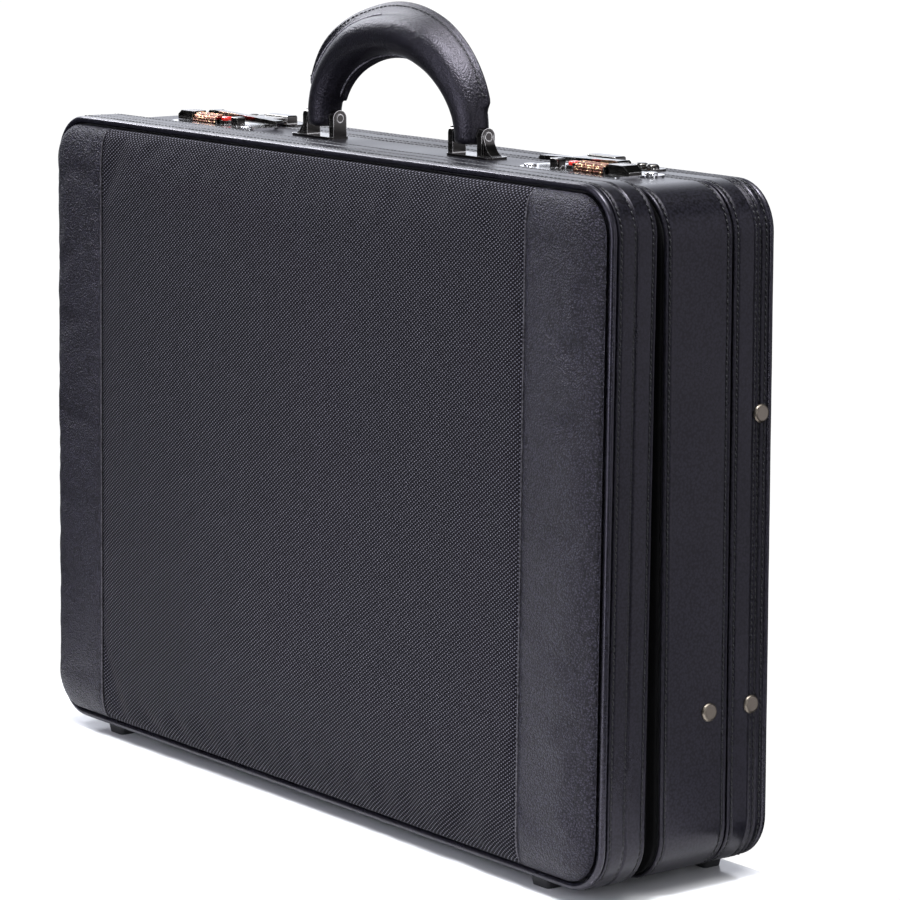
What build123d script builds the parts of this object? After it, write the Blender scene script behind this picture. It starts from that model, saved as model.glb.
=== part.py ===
"""Expandable attache briefcase, standing on its hinge edge with the handle on top.

Millimetres. X runs along the case, -Y is the front (expansion tray) side, +Y the lid side, +Z up.
The origin is on the floor, at the centre of the outer box. From front to back the case is an
expansion tray, a fabric gusset, the base ring that carries handle and locks, and the hinged lid.
"""

import os
from math import acos, asin, atan2, cos, degrees, hypot, radians, sin

from build123d import *

os.makedirs("parts", exist_ok=True)

# ---- driving dimensions ---------------------------------------------------------------------

case_length = 450.0
corner_radius = 23.0
foot_height = 5.2

base_height = 313.5
base_front = -15.0
crease_y = 24.5
crease_gap = 1.0

tray_height = 316.8
tray_depth = 25.3
tray_front_top = -44.5
tray_front_bottom = -49.5

lid_back = 49.2

leather = 1.4
wall_outer_inset = 1.45
wall_inner_inset = 5.0
base_wall_inset = 5.5
board_depth = 4.5
board_thickness = 2.6
lining = 0.75
rim_setback = 0.6
lining_setback = 1.0

piping_radius = 1.7
pad_inset = 4.3
pad_reach = 7.5
panel_reach = 6.9
seam_x = 174.2
seam_gap = 0.2
pad_edge_radius = 4.0

handle_y = 7.0
lock_y = 7.0

side_clearance = 0.3
snug_gap = 0.1
glue_gap = 0.05
through = 40.0

# ---- derived stations -----------------------------------------------------------------------

base_top = foot_height + base_height
base_mid = foot_height + base_height / 2
base_back = crease_y - crease_gap / 2
lid_front = crease_y + crease_gap / 2
half_length = case_length / 2

tray_mid_z = foot_height + tray_height / 2
tray_mid_y = (tray_front_top + tray_front_bottom) / 2
tray_tilt = asin((tray_front_top - tray_front_bottom) / tray_height)

# the tray's front pad reaches furthest forward just above its rounded lower edge
pad_low_z = pad_inset + pad_edge_radius
tray_reach = -tray_front_bottom - pad_low_z * sin(tray_tilt) + pad_reach * cos(tray_tilt)
lid_pad_reach = tray_reach - lid_back


# ---- helpers --------------------------------------------------------------------------------


def save(piece, name):
    """Label a finished piece and write its STEP file."""
    piece.part.label = name
    export_step(piece.part, f"parts/{name}.step")


def tray_level(depth):
    """Plane parallel to the tray's tilted front face, a given depth behind it, facing out."""
    outward = Vector(0, -cos(tray_tilt), sin(tray_tilt))
    origin = Vector(0, tray_mid_y, tray_mid_z) - outward * depth
    return Plane(origin=origin, x_dir=(1, 0, 0), z_dir=outward)


def lid_level(depth):
    """Plane parallel to the lid's back face, a given depth in front of it, facing out."""
    return Plane(origin=(0, lid_back - depth, base_mid), x_dir=(-1, 0, 0), z_dir=(0, 1, 0))


def base_level(y):
    """Plane across the base ring at a given Y, facing the front."""
    return Plane(origin=(0, y, base_mid), x_dir=(1, 0, 0), z_dir=(0, -1, 0))


def outline(height, inset, mode=Mode.ADD):
    """The case's rounded outline, moved inwards by inset."""
    RectangleRounded(case_length - 2 * inset, height - 2 * inset, corner_radius - inset, mode=mode)


def ring(level, height, outer_inset, inner_inset, depth):
    """A band that follows the outline, from the level inwards by depth."""
    with BuildPart() as band:
        with BuildSketch(level):
            outline(height, outer_inset)
            outline(height, inner_inset, mode=Mode.SUBTRACT)
        extrude(amount=-depth)
    return band


def side_plane(side, y, z, x):
    """Plane on the case's left (-1) or right (+1) side at (y, z), facing out."""
    return Plane(origin=(side * x, y, z), x_dir=(0, side, 0), z_dir=(side, 0, 0))


def side_holes(solid, places, radius):
    """Drill rivet holes through the side walls of a ring; returns the drilled ring."""
    with BuildPart() as drilled:
        add(solid.part)
        for side in (-1, 1):
            for y, z, x_end in places:
                with BuildSketch(side_plane(side, y, z, x_end)):
                    Circle(radius)
                extrude(amount=half_length, mode=Mode.SUBTRACT)
    return drilled


# ---- lid stays: geometry needed by walls and rivets -------------------------------------------

hinge_axis_z = foot_height - 2.2
barrel_radius = 2.0
hinge_pin_radius = 0.95
hinge_bore_radius = 1.0

base_rivet = (12.9, foot_height + 76.7)
lid_rivet = (38.0, foot_height + 76.7)
lid_upper_rivet = (41.7, foot_height + 209.8)
rivet_shank = 1.8
rivet_hole = 1.9
rivet_head_radius = 4.3
rivet_head_height = 1.7
rivet_rim = 0.3
lining_hole = 2.5
inside_wall = 200.0
blind_hole = 4.4

link_length = 67.5
link_width = 6.0
link_thickness = 1.5
base_link_x = 215.9
lid_link_x = 213.8

# ---- base ring --------------------------------------------------------------------------------

base_depth = base_back - base_front
frame_front = base_front + rim_setback
frame_depth = base_depth - 2 * rim_setback

# the locks' dials sink into a pocket in the top wall
dial_width = 6.2
dial_pitch = 6.8
dial_radius = 4.8
dial_axis_y = 3.7
plate_thickness = 1.1
plate_top = base_top + plate_thickness
dial_sink = 0.3
dial_axis_z = plate_top - dial_sink
dial_centre = 154.25
dial_count = 3
pocket_length = dial_count * dial_pitch + 3.2
pocket_width = 2 * dial_radius + 1.6
pocket_floor = dial_axis_z - dial_radius - 0.5


def with_dial_pockets(solid):
    """Cut the two dial pockets into the top wall of a ring."""
    with BuildPart() as pocketed:
        add(solid.part)
        with BuildSketch(Plane.XY.offset(pocket_floor)):
            with Locations((-dial_centre, dial_axis_y), (dial_centre, dial_axis_y)):
                Rectangle(pocket_length, pocket_width)
        extrude(amount=through, mode=Mode.SUBTRACT)
    return pocketed


base_rivet_hole = (*base_rivet, inside_wall)
base_band = ring(base_level(base_front), base_height, 0, leather, base_depth)
base_band = with_dial_pockets(side_holes(base_band, [base_rivet_hole], rivet_hole))
save(base_band, "base_band")

base_frame = ring(base_level(frame_front), base_height, wall_outer_inset, base_wall_inset, frame_depth)
base_frame = with_dial_pockets(side_holes(base_frame, [base_rivet_hole], rivet_hole))
save(base_frame, "base_frame")

# the tongue that the lid closes over
valance_front = 18.0
valance_back = 31.0
valance_inset = base_wall_inset + snug_gap
valance_thickness = 1.5
valance_end_gap = 1.5
base_valance = ring(
    base_level(valance_front),
    base_height,
    valance_inset,
    valance_inset + valance_thickness,
    valance_back - valance_front,
)
save(base_valance, "base_valance")

# fabric gusset, folded into the gap between tray and base
gusset_front = -35.0
gusset_back = -4.0
gusset_inset = 6.9
gusset_thickness = 0.8
gusset = ring(
    base_level(gusset_front),
    base_height,
    gusset_inset,
    gusset_inset + gusset_thickness,
    gusset_back - gusset_front,
)
save(gusset, "gusset")


# ---- tray and lid: the two padded halves ----------------------------------------------------


def shell_piece(level, height, rim_depth):
    """Rigid board tray: a face board with walls behind it."""
    with BuildPart() as shell:
        with BuildSketch(level(board_depth)):
            outline(height, wall_outer_inset)
        extrude(amount=-(rim_depth - board_depth))
        with BuildSketch(level(board_depth + board_thickness)):
            outline(height, wall_inner_inset)
        extrude(amount=-rim_depth, mode=Mode.SUBTRACT)
    return shell


def lining_piece(level, height, rim_depth):
    """Thin fabric lining on the inside of a shell."""
    floor_depth = board_depth + board_thickness + glue_gap
    with BuildPart() as sheet:
        with BuildSketch(level(floor_depth)):
            outline(height, wall_inner_inset + glue_gap)
        extrude(amount=-(rim_depth - floor_depth))
        with BuildSketch(level(floor_depth + lining)):
            outline(height, wall_inner_inset + glue_gap + lining)
        extrude(amount=-rim_depth, mode=Mode.SUBTRACT)
    return sheet


def piping_piece(level, height):
    """Round leather piping along the face's edge."""
    with BuildSketch(level(piping_radius)) as route:
        outline(height, piping_radius)
    path = route.sketch.face().outer_wire()
    with BuildPart() as cord:
        with BuildSketch(Plane(origin=path @ 0, z_dir=path % 0)):
            Circle(piping_radius)
        sweep(path=path)
    return cord


def panel_piece(level, height):
    """Woven centre panel over thin foam."""
    with BuildPart() as panel:
        with BuildSketch(level(board_depth)):
            Rectangle(2 * (seam_x - seam_gap), height - 2 * pad_inset)
        extrude(amount=board_depth + panel_reach)
        outer_face = panel.faces().sort_by(Axis(level(0).origin, level(0).z_dir))[-1]
        fillet(outer_face.edges(), pad_edge_radius)
    return panel


def flank_piece(level, height, side, reach):
    """Padded leather flank between the woven panel and the case's end."""
    flank_width = half_length - seam_x - pad_inset
    flank_centre = seam_x + flank_width / 2
    with BuildPart() as flank:
        with BuildSketch(level(board_depth)):
            outline(height, pad_inset)
            with Locations((side * flank_centre, 0)):
                Rectangle(flank_width, height, mode=Mode.INTERSECT)
        extrude(amount=board_depth + reach)
        outer_face = flank.faces().sort_by(Axis(level(0).origin, level(0).z_dir))[-1]
        fillet(outer_face.edges(), pad_edge_radius)
    return flank


band_start = 2 * piping_radius + snug_gap

save(shell_piece(tray_level, tray_height, tray_depth - rim_setback), "tray_shell")
save(ring(tray_level(band_start), tray_height, 0, leather, tray_depth - band_start), "tray_band")
save(lining_piece(tray_level, tray_height, tray_depth - lining_setback), "tray_lining")
save(piping_piece(tray_level, tray_height), "tray_piping")
save(panel_piece(tray_level, tray_height), "tray_panel")
save(flank_piece(tray_level, tray_height, -1, pad_reach), "tray_flank_left")
save(flank_piece(tray_level, tray_height, 1, pad_reach), "tray_flank_right")

lid_rim = lid_back - lid_front
lid_lining_rim = lid_back - (valance_back + valance_end_gap)
lower_hole = (*lid_rivet, inside_wall)
upper_hole = (*lid_upper_rivet, half_length - blind_hole)

lid_shell = shell_piece(lid_level, base_height, lid_rim - rim_setback)
save(side_holes(lid_shell, [lower_hole, upper_hole], rivet_hole), "lid_shell")
lid_band = ring(lid_level(band_start), base_height, 0, leather, lid_rim - band_start)
save(side_holes(lid_band, [lower_hole, upper_hole], rivet_hole), "lid_band")
lid_lining = lining_piece(lid_level, base_height, lid_lining_rim)
save(side_holes(lid_lining, [lower_hole], lining_hole), "lid_lining")
save(piping_piece(lid_level, base_height), "lid_piping")
save(panel_piece(lid_level, base_height), "lid_panel")
# the lid's level faces +Y with X reversed, so its local right is the case's left
save(flank_piece(lid_level, base_height, 1, lid_pad_reach), "lid_flank_left")
save(flank_piece(lid_level, base_height, -1, lid_pad_reach), "lid_flank_right")

# ---- feet -------------------------------------------------------------------------------------

foot_length = 12.0
foot_width = 10.0
foot_corner = 2.0
foot_taper = 12.0
tray_foot_x = 177.0
tray_foot_y = -40.2
lid_foot_x = 195.0
lid_foot_y = 38.0


def feet_pair(x, y, top_z):
    """Two tapered feet, standing flat on the floor."""
    with BuildPart() as feet:
        with BuildSketch(Plane.XY):
            with Locations((-x, y), (x, y)):
                RectangleRounded(foot_length, foot_width, foot_corner)
        extrude(amount=top_z, taper=-foot_taper)
    return feet


# the tray's underside is tilted with the tray, so its feet end just short of the band
foot_back = tray_foot_y + foot_width / 2 + foot_height * sin(radians(foot_taper))
tray_foot_top = foot_height - (foot_back - tray_front_bottom) * sin(tray_tilt)
save(feet_pair(tray_foot_x, tray_foot_y, tray_foot_top), "tray_feet")
save(feet_pair(lid_foot_x, lid_foot_y, foot_height), "lid_feet")

# ---- piano hinge ------------------------------------------------------------------------------

hinge_length = 350.0
knuckle_count = 14
knuckle_pitch = hinge_length / knuckle_count
leaf_thickness = 1.0
leaf_top = foot_height
leaf_width = 12.0
leaf_gap = barrel_radius + 0.35
leaf_overlap = 0.5
knuckle_recess = 0.2
leaf_hole_count = 5
leaf_hole_radius = 1.6
leaf_hole_place = 0.6


def hinge_leaf(direction, first_knuckle):
    """One leaf with every second knuckle; direction is -1 towards the base, +1 the lid."""
    leaf_near = crease_y + direction * leaf_gap
    knuckle = knuckle_pitch - side_clearance
    tongue = leaf_gap + leaf_overlap
    with BuildPart() as leaf:
        with BuildSketch(Plane.XY.offset(leaf_top - leaf_thickness)):
            with Locations((0, leaf_near + direction * leaf_width / 2)):
                Rectangle(hinge_length, leaf_width)
        extrude(amount=leaf_thickness)
        for index in range(first_knuckle, knuckle_count, 2):
            centre = -hinge_length / 2 + (index + 0.5) * knuckle_pitch
            start = centre - knuckle / 2
            with BuildSketch(Plane.XY.offset(leaf_top - leaf_thickness)):
                with Locations((centre, crease_y + direction * tongue / 2)):
                    Rectangle(knuckle, tongue)
            extrude(amount=leaf_thickness - knuckle_recess)
            with BuildSketch(Plane.YZ.offset(start)):
                with Locations((crease_y, hinge_axis_z)):
                    Circle(barrel_radius)
            extrude(amount=knuckle)
        with BuildSketch(Plane.YZ.offset(-hinge_length)):
            with Locations((crease_y, hinge_axis_z)):
                Circle(hinge_bore_radius)
        extrude(amount=2 * hinge_length, mode=Mode.SUBTRACT)
        hole_y = leaf_near + direction * leaf_width * leaf_hole_place
        with BuildSketch(Plane.XY.offset(leaf_top - leaf_thickness)):
            with GridLocations(hinge_length / leaf_hole_count, 1, leaf_hole_count, 1):
                with Locations((0, hole_y)):
                    Circle(leaf_hole_radius)
        extrude(amount=leaf_thickness, mode=Mode.SUBTRACT)
    return leaf


save(hinge_leaf(-1, 0), "hinge_leaf_base")
save(hinge_leaf(1, 1), "hinge_leaf_lid")

with BuildPart() as hinge_pin:
    with BuildSketch(Plane.YZ.offset(-hinge_length / 2)):
        with Locations((crease_y, hinge_axis_z)):
            Circle(hinge_pin_radius)
    extrude(amount=hinge_length)
save(hinge_pin, "hinge_pin")

# ---- side rivets and lid stays ----------------------------------------------------------------


def rivet(side, place, inner_x, boss_radius, boss_x):
    """Domed rivet through the side wall, with an inner shoulder where boss_radius is given."""
    y, z = place
    with BuildPart() as piece:
        with BuildSketch(side_plane(side, y, z, half_length)):
            Circle(rivet_head_radius)
        extrude(amount=rivet_head_height)
        head = piece.faces().sort_by(Axis.X)[-1 if side > 0 else 0]
        fillet(head.edges(), rivet_head_height - rivet_rim)
        with BuildSketch(side_plane(side, y, z, inner_x)):
            Circle(rivet_shank)
        extrude(amount=half_length - inner_x)
        if boss_radius:
            with BuildSketch(side_plane(side, y, z, boss_x)):
                Circle(boss_radius)
            extrude(amount=half_length - base_wall_inset - snug_gap - boss_x)
    return piece.part


def group(parts):
    """Several separate solids as one node."""
    with BuildPart() as together:
        add(parts)
    return together


sides = ((-1, "left"), (1, "right"))
link_end = 0.6
base_boss = (2.6, base_link_x + link_thickness + snug_gap)
lid_boss = (2.3, lid_link_x + link_thickness + snug_gap)
no_boss = (0, 0)
upper_rivet_end = 4.2

base_rivet_parts = [rivet(side, base_rivet, base_link_x - link_end, *base_boss) for side, _ in sides]
lower_rivets = [rivet(side, lid_rivet, lid_link_x - link_end, *lid_boss) for side, _ in sides]
upper_rivets = [rivet(side, lid_upper_rivet, half_length - upper_rivet_end, *no_boss) for side, _ in sides]
save(group(base_rivet_parts), "base_rivets")
save(group(lower_rivets + upper_rivets), "lid_rivets")

# at rest both links stand up from their rivets and meet at a knuckle between them
rivet_span = lid_rivet[0] - base_rivet[0]
fold_angle = acos(rivet_span / 2 / link_length)
knuckle_y = (lid_rivet[0] + base_rivet[0]) / 2
knuckle_z = base_rivet[1] + link_length * sin(fold_angle)
link_hole = rivet_shank + 0.05
knuckle_pin_radius = 2.2
knuckle_pin_length = 0.9


def stay_link(side, start, x, with_knuckle):
    """Flat steel link from a rivet to the knuckle. Its own knuckle pin stops short of the mate."""
    sy, sz = start
    length = hypot(knuckle_y - sy, knuckle_z - sz)
    along = atan2(knuckle_z - sz, knuckle_y - sy)
    middle = ((knuckle_y + sy) / 2, (knuckle_z + sz) / 2)
    with BuildPart() as link:
        with BuildSketch(Plane.YZ.offset(side * x)):
            with Locations(Location(middle, degrees(along))):
                SlotCenterToCenter(length, link_width)
            with Locations(start):
                Circle(link_hole, mode=Mode.SUBTRACT)
        extrude(amount=side * link_thickness)
        if with_knuckle:
            with BuildSketch(Plane.YZ.offset(side * x)):
                with Locations((knuckle_y, knuckle_z)):
                    Circle(knuckle_pin_radius)
            extrude(amount=-side * knuckle_pin_length)
    return link


for side, side_name in sides:
    save(stay_link(side, base_rivet, base_link_x, False), f"stay_base_link_{side_name}")
    save(stay_link(side, lid_rivet, lid_link_x, True), f"stay_lid_link_{side_name}")

# ---- handle -----------------------------------------------------------------------------------

pivot_x = 59.0
pivot_z = base_top + 10.5
handle_rise = 45.5
handle_pin_radius = 2.0
handle_bore_radius = 2.05
ear_gap = 18.6
ear_thickness = 3.6
ear_width = 8.0
ear_top_radius = 4.0
eye_length = ear_gap - 1.0
eye_radius = 3.4

# the grip is a tube along a half ellipse, thick at the top and slim where it enters the brackets
grip_end_radius = 8.2
grip_end_drop = 4.4
grip_end_taper = 12.0
half_sections = ((0, grip_end_radius), (12, 8.9), (30, 10.2), (60, 11.7))
crown = ((90, 12.0),)
grip_sections = half_sections + crown + tuple((180 - angle, r) for angle, r in reversed(half_sections))


def grip_radius(angle):
    """Radius of the grip's tube at an angle round the arch, between its sections."""
    for (a0, r0), (a1, r1) in zip(grip_sections, grip_sections[1:]):
        if a0 <= angle <= a1:
            return r0 + (r1 - r0) * (angle - a0) / (a1 - a0)
    return grip_end_radius


def arch_point(angle, outward):
    """(x, z) on the arch's centre line, moved outwards, at right angles to it."""
    t = radians(angle)
    normal = Vector(handle_rise * cos(t), pivot_x * sin(t)).normalized()
    x = pivot_x * cos(t) + outward * normal.X
    z = pivot_z + handle_rise * sin(t) + outward * normal.Y
    return x, z


with BuildPart() as handle_grip:
    for angle, radius in grip_sections:
        t = radians(angle)
        x, z = arch_point(angle, 0)
        tangent = (-pivot_x * sin(t), 0, handle_rise * cos(t))
        with BuildSketch(Plane(origin=(x, handle_y, z), x_dir=(0, 1, 0), z_dir=tangent)):
            Circle(radius)
    loft()
    with BuildSketch(Plane.XY.offset(pivot_z)):
        with Locations((-pivot_x, handle_y), (pivot_x, handle_y)):
            Circle(grip_end_radius)
    extrude(amount=-grip_end_drop, taper=grip_end_taper)
    # the core's eyes pass through each end
    with BuildSketch(Plane.YZ.offset(-2 * pivot_x)):
        with Locations((handle_y, pivot_z)):
            Circle(eye_radius + glue_gap)
    extrude(amount=4 * pivot_x, mode=Mode.SUBTRACT)
save(handle_grip, "handle_grip")

with BuildPart() as handle_eyes:
    for side, _ in sides:
        with BuildSketch(Plane.YZ.offset(side * pivot_x - eye_length / 2)):
            with Locations((handle_y, pivot_z)):
                Circle(eye_radius)
                Circle(handle_bore_radius, mode=Mode.SUBTRACT)
        extrude(amount=eye_length)
save(handle_eyes, "handle_eyes")

# stitched leather welt standing out along the arch's outer edge
welt_height = 3.6
welt_thickness = 3.0
welt_gap = 0.4
welt_start = 12
welt_step = 12
welt_angles = range(welt_start, 180 - welt_start + 1, welt_step)
with BuildPart() as handle_welt:
    with BuildSketch(Plane.XZ.offset(-handle_y)):
        with BuildLine():
            inner_points = [arch_point(angle, grip_radius(angle) + welt_gap) for angle in welt_angles]
            outer_points = [
                arch_point(angle, grip_radius(angle) + welt_gap + welt_height) for angle in welt_angles
            ]
            inner = Spline(*inner_points)
            outer = Spline(*outer_points)
            Line(outer @ 0, inner @ 0)
            Line(outer @ 1, inner @ 1)
        make_face()
    extrude(amount=welt_thickness / 2, both=True)
save(handle_welt, "handle_welt")

bracket_base = 1.5
bracket_corner = 2.5
bracket_margin = 4.0
ear_reach = ear_gap / 2
flare_reach = 8.0
flare_margin = 1.0
flare_curve = 1.6
running_fit = 0.01
pin_stand = 0.3


def handle_bracket(side):
    """Clevis bracket: base plate, two round-topped ears, and a flared outer foot."""
    centre = side * pivot_x
    plate_length = 2 * (ear_reach + ear_thickness) + flare_reach
    plate_centre = centre + side * flare_reach / 2
    ear_centre_z = base_top + (pivot_z - base_top) / 2
    with BuildPart() as bracket:
        with BuildSketch(Plane.XY.offset(base_top)):
            with Locations((plate_centre, handle_y)):
                RectangleRounded(plate_length, ear_width + bracket_margin, bracket_corner)
        extrude(amount=bracket_base)
        for ear_side in (-1, 1):
            ear_start = centre + ear_side * ear_reach
            with BuildSketch(Plane.YZ.offset(ear_start)):
                with Locations((handle_y, pivot_z)):
                    Circle(ear_top_radius)
                with Locations((handle_y, ear_centre_z)):
                    Rectangle(ear_width, pivot_z - base_top)
            extrude(amount=ear_side * ear_thickness)
        # concave flare that runs from the outer ear down to the plate's end
        ear_outer = centre + side * (ear_reach + ear_thickness)
        flare_end = ear_outer + side * (flare_reach - flare_margin)
        with BuildSketch(Plane.XZ.offset(-(handle_y + ear_width / 2 - flare_margin))):
            with BuildLine():
                top = (ear_outer, pivot_z + flare_margin)
                foot = (flare_end, base_top + bracket_base)
                heel = (ear_outer, base_top + bracket_base)
                corner = (ear_outer + side * flare_curve, base_top + bracket_base + flare_curve)
                Bezier(top, corner, foot)
                Line(foot, heel)
                Line(heel, top)
            make_face()
        extrude(amount=ear_width - 2 * flare_margin)
        with BuildSketch(Plane.YZ.offset(centre - 2 * ear_gap)):
            with Locations((handle_y, pivot_z)):
                Circle(handle_pin_radius + running_fit)
        extrude(amount=4 * ear_gap, mode=Mode.SUBTRACT)
    return bracket


for side, side_name in sides:
    save(handle_bracket(side), f"handle_bracket_{side_name}")

with BuildPart() as handle_pins:
    pin_length = ear_gap + 2 * ear_thickness + 2 * pin_stand
    for side, _ in sides:
        with BuildSketch(Plane.YZ.offset(side * pivot_x - pin_length / 2)):
            with Locations((handle_y, pivot_z)):
                Circle(handle_pin_radius)
        extrude(amount=pin_length)
save(handle_pins, "handle_pins")

# ---- locks ------------------------------------------------------------------------------------

plate_start = 109.0
plate_end = 178.0
plate_front = -7.5
plate_back = 17.5
plate_corner = 7.0
tab_radius = 6.0
tab_reach = 14.0
screw_inner = (114.5, -2.0)
screw_outer = (178.0, 16.5)
screw_head_radius = 3.0
screw_head_height = 1.1
screw_round = 0.8
screw_hole_radius = 1.6
screw_shank_radius = 1.5

post_x = 128.4
post_y = 2.8
post_size = (5.4, 5.6)
post_height = 4.4
post_corner = 0.8
post_round = 0.6

button_x = 139.6
button_size = 4.8
button_bottom = plate_top + 1.4
button_height = 2.4
button_clearance = 0.2
button_corner = 1.2
button_round = 0.9
collar_wall = 0.7
collar_height = 2.0
collar_corner = 1.6

window_end_margin = 1.2
window_side_margin = 0.4
cheek_thickness = 0.9
cheek_gap = 0.1
cheek_depth = 8.6
cheek_rise = 3.4
cheek_drop = 0.3

block_start = 166.2
block_length = 14.5
block_width = 8.6
block_height = 4.6
block_y = 5.0
block_float = 0.15
block_bevel = 4.0
block_heel = 1.8
block_corner = 1.2
ridge_count = 5
ridge_radius = 0.5
ridge_start = 2.2
ridge_pitch = 1.7
ridge_margin = 1.2

hasp_pivot_x = 162.0
hasp_inner_x = 105.0
hasp_front = 10.4
hasp_width = 4.6
hasp_pivot_z = plate_top + 3.0
hasp_pin_radius = 1.0
hasp_hole_radius = 1.05
lug_thickness = 1.3
lug_gap = 0.3
lug_radius = 2.3
finger_x = 129.0
finger_width = 18.0
finger_root = 1.5
finger_end = 26.8
finger_bottom = base_top + 2.6
finger_thickness = 1.8

axle_radius = 1.2
axle_end = 1.0
dial_bore_gap = 0.06
dial_notches = 20
notch_radius = 0.55
notch_offset = 0.25


def mirrored(side, x, y):
    """A point of the right-hand lock, or its mirror image on the left."""
    return (side * x, y)


def lock_plate(side):
    """Flat plate with rounded corners, a tab round its outer screw, and the dials' window."""
    with BuildPart() as plate:
        with BuildSketch(Plane.XY.offset(base_top)):
            with Locations(mirrored(side, (plate_start + plate_end) / 2, (plate_front + plate_back) / 2)):
                RectangleRounded(plate_end - plate_start, plate_back - plate_front, plate_corner)
            with Locations(mirrored(side, *screw_outer)):
                Circle(tab_radius)
            with Locations(mirrored(side, screw_outer[0] - tab_reach / 2, screw_outer[1])):
                Rectangle(tab_reach, 2 * tab_radius)
            for place in (screw_inner, screw_outer):
                with Locations(mirrored(side, *place)):
                    Circle(screw_hole_radius, mode=Mode.SUBTRACT)
            with Locations(mirrored(side, dial_centre, dial_axis_y)):
                window_length = dial_count * dial_pitch + 2 * window_end_margin
                Rectangle(window_length, 2 * (dial_radius + window_side_margin), mode=Mode.SUBTRACT)
        extrude(amount=plate_thickness)
    return plate


def lock_housing(side):
    """Fixed works on the plate: the keeper post and the cheeks that carry the dials' axle."""
    cheek_offset = dial_count * dial_pitch / 2 + cheek_gap
    cheek_bottom = pocket_floor + cheek_drop
    with BuildPart() as housing:
        with BuildSketch(Plane.XY.offset(plate_top)):
            with Locations(mirrored(side, post_x, post_y)):
                RectangleRounded(*post_size, post_corner)
        extrude(amount=post_height)
        post_top = housing.faces().sort_by(Axis.Z)[-1]
        fillet(post_top.edges(), post_round)
        # the cheeks reach down through the plate's window
        for direction in (-1, 1):
            cheek_x = side * dial_centre + direction * (cheek_offset + cheek_thickness / 2)
            with BuildSketch(Plane.XY.offset(cheek_bottom)):
                with Locations((cheek_x, dial_axis_y)):
                    Rectangle(cheek_thickness, cheek_depth)
            extrude(amount=plate_top + cheek_rise - cheek_bottom)
        with BuildSketch(Plane.YZ.offset(side * dial_centre - 2 * pocket_length)):
            with Locations((dial_axis_y, dial_axis_z)):
                Circle(axle_radius + running_fit)
        extrude(amount=4 * pocket_length, mode=Mode.SUBTRACT)
    return housing


def hasp_lugs(side):
    """Two upright lugs, one on each side of the latch bar's outer end."""
    with BuildPart() as lugs:
        for lug_y in (hasp_front - lug_gap - lug_thickness, hasp_front + hasp_width + lug_gap):
            with BuildSketch(Plane.XZ.offset(-lug_y)):
                with Locations((side * hasp_pivot_x, hasp_pivot_z)):
                    Circle(lug_radius)
                with Locations((side * hasp_pivot_x, (plate_top + hasp_pivot_z) / 2)):
                    Rectangle(2 * lug_radius, hasp_pivot_z - plate_top)
            extrude(amount=-lug_thickness)
        with BuildSketch(Plane.XZ):
            with Locations((side * hasp_pivot_x, hasp_pivot_z)):
                Circle(hasp_pin_radius + running_fit)
        extrude(amount=-through, mode=Mode.SUBTRACT)
    return lugs


def hasp(side):
    """Latch bar: hinged at its outer end, with a finger that reaches over the lid's catch."""
    outer_top = hasp_pivot_z + 2.3
    inner_top = hasp_pivot_z + 0.5
    with BuildPart() as bar:
        with BuildSketch(Plane.XZ.offset(-hasp_front)):
            with BuildLine():
                Polyline(
                    (side * (hasp_pivot_x + 2.0), hasp_pivot_z - 0.4),
                    (side * (hasp_pivot_x + 2.0), outer_top - 0.8),
                    (side * (hasp_pivot_x + 0.8), outer_top),
                    (side * (hasp_inner_x + 1.5), inner_top),
                    (side * hasp_inner_x, inner_top - 1.0),
                    (side * (hasp_inner_x + 0.6), inner_top - 2.2),
                    (side * (hasp_pivot_x - 6.0), outer_top - 2.6),
                    (side * (hasp_pivot_x - 2.0), hasp_pivot_z - 1.4),
                    (side * (hasp_pivot_x + 1.2), hasp_pivot_z - 1.4),
                    close=True,
                )
            make_face()
        extrude(amount=-hasp_width)
        with BuildSketch(Plane.XY.offset(finger_bottom)):
            finger_start = hasp_front + hasp_width - finger_root
            finger_mid = (finger_start + finger_end) / 2
            with Locations(mirrored(side, finger_x, finger_mid)):
                Rectangle(finger_width, finger_end - finger_start)
        extrude(amount=finger_thickness)
        with BuildSketch(Plane.XZ):
            with Locations((side * hasp_pivot_x, hasp_pivot_z)):
                Circle(hasp_hole_radius)
        extrude(amount=-through, mode=Mode.SUBTRACT)
    return bar


def thumb_slide(side):
    """Sliding release button with grip ridges and a bevelled outer end."""
    block_bottom = plate_top + block_float
    block_end = block_start + block_length
    block_top = block_bottom + block_height
    with BuildPart() as button:
        with BuildSketch(Plane.XZ.offset(-(block_y - block_width / 2))):
            with BuildLine():
                Polyline(
                    (side * block_start, block_bottom),
                    (side * block_start, block_top),
                    (side * (block_end - block_bevel), block_top),
                    (side * block_end, block_bottom + block_heel),
                    (side * block_end, block_bottom),
                    close=True,
                )
            make_face()
        extrude(amount=-block_width)
        fillet(button.edges().filter_by(Axis.Z), block_corner)
        with BuildSketch(Plane.XZ.offset(-(block_y - block_width / 2 + ridge_margin))):
            for ridge in range(ridge_count):
                ridge_x = side * (block_start + ridge_start + ridge_pitch * ridge)
                with Locations((ridge_x, block_top)):
                    Circle(ridge_radius)
        extrude(amount=-(block_width - 2 * ridge_margin), mode=Mode.SUBTRACT)
    return button


def reset_button(side):
    """Small domed button between the post and the dials."""
    with BuildPart() as button:
        with BuildSketch(Plane.XY.offset(button_bottom)):
            with Locations(mirrored(side, button_x, dial_axis_y)):
                RectangleRounded(button_size, button_size, button_corner)
        extrude(amount=button_height)
        fillet(button.faces().sort_by(Axis.Z)[-1].edges(), button_round)
    return button


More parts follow.
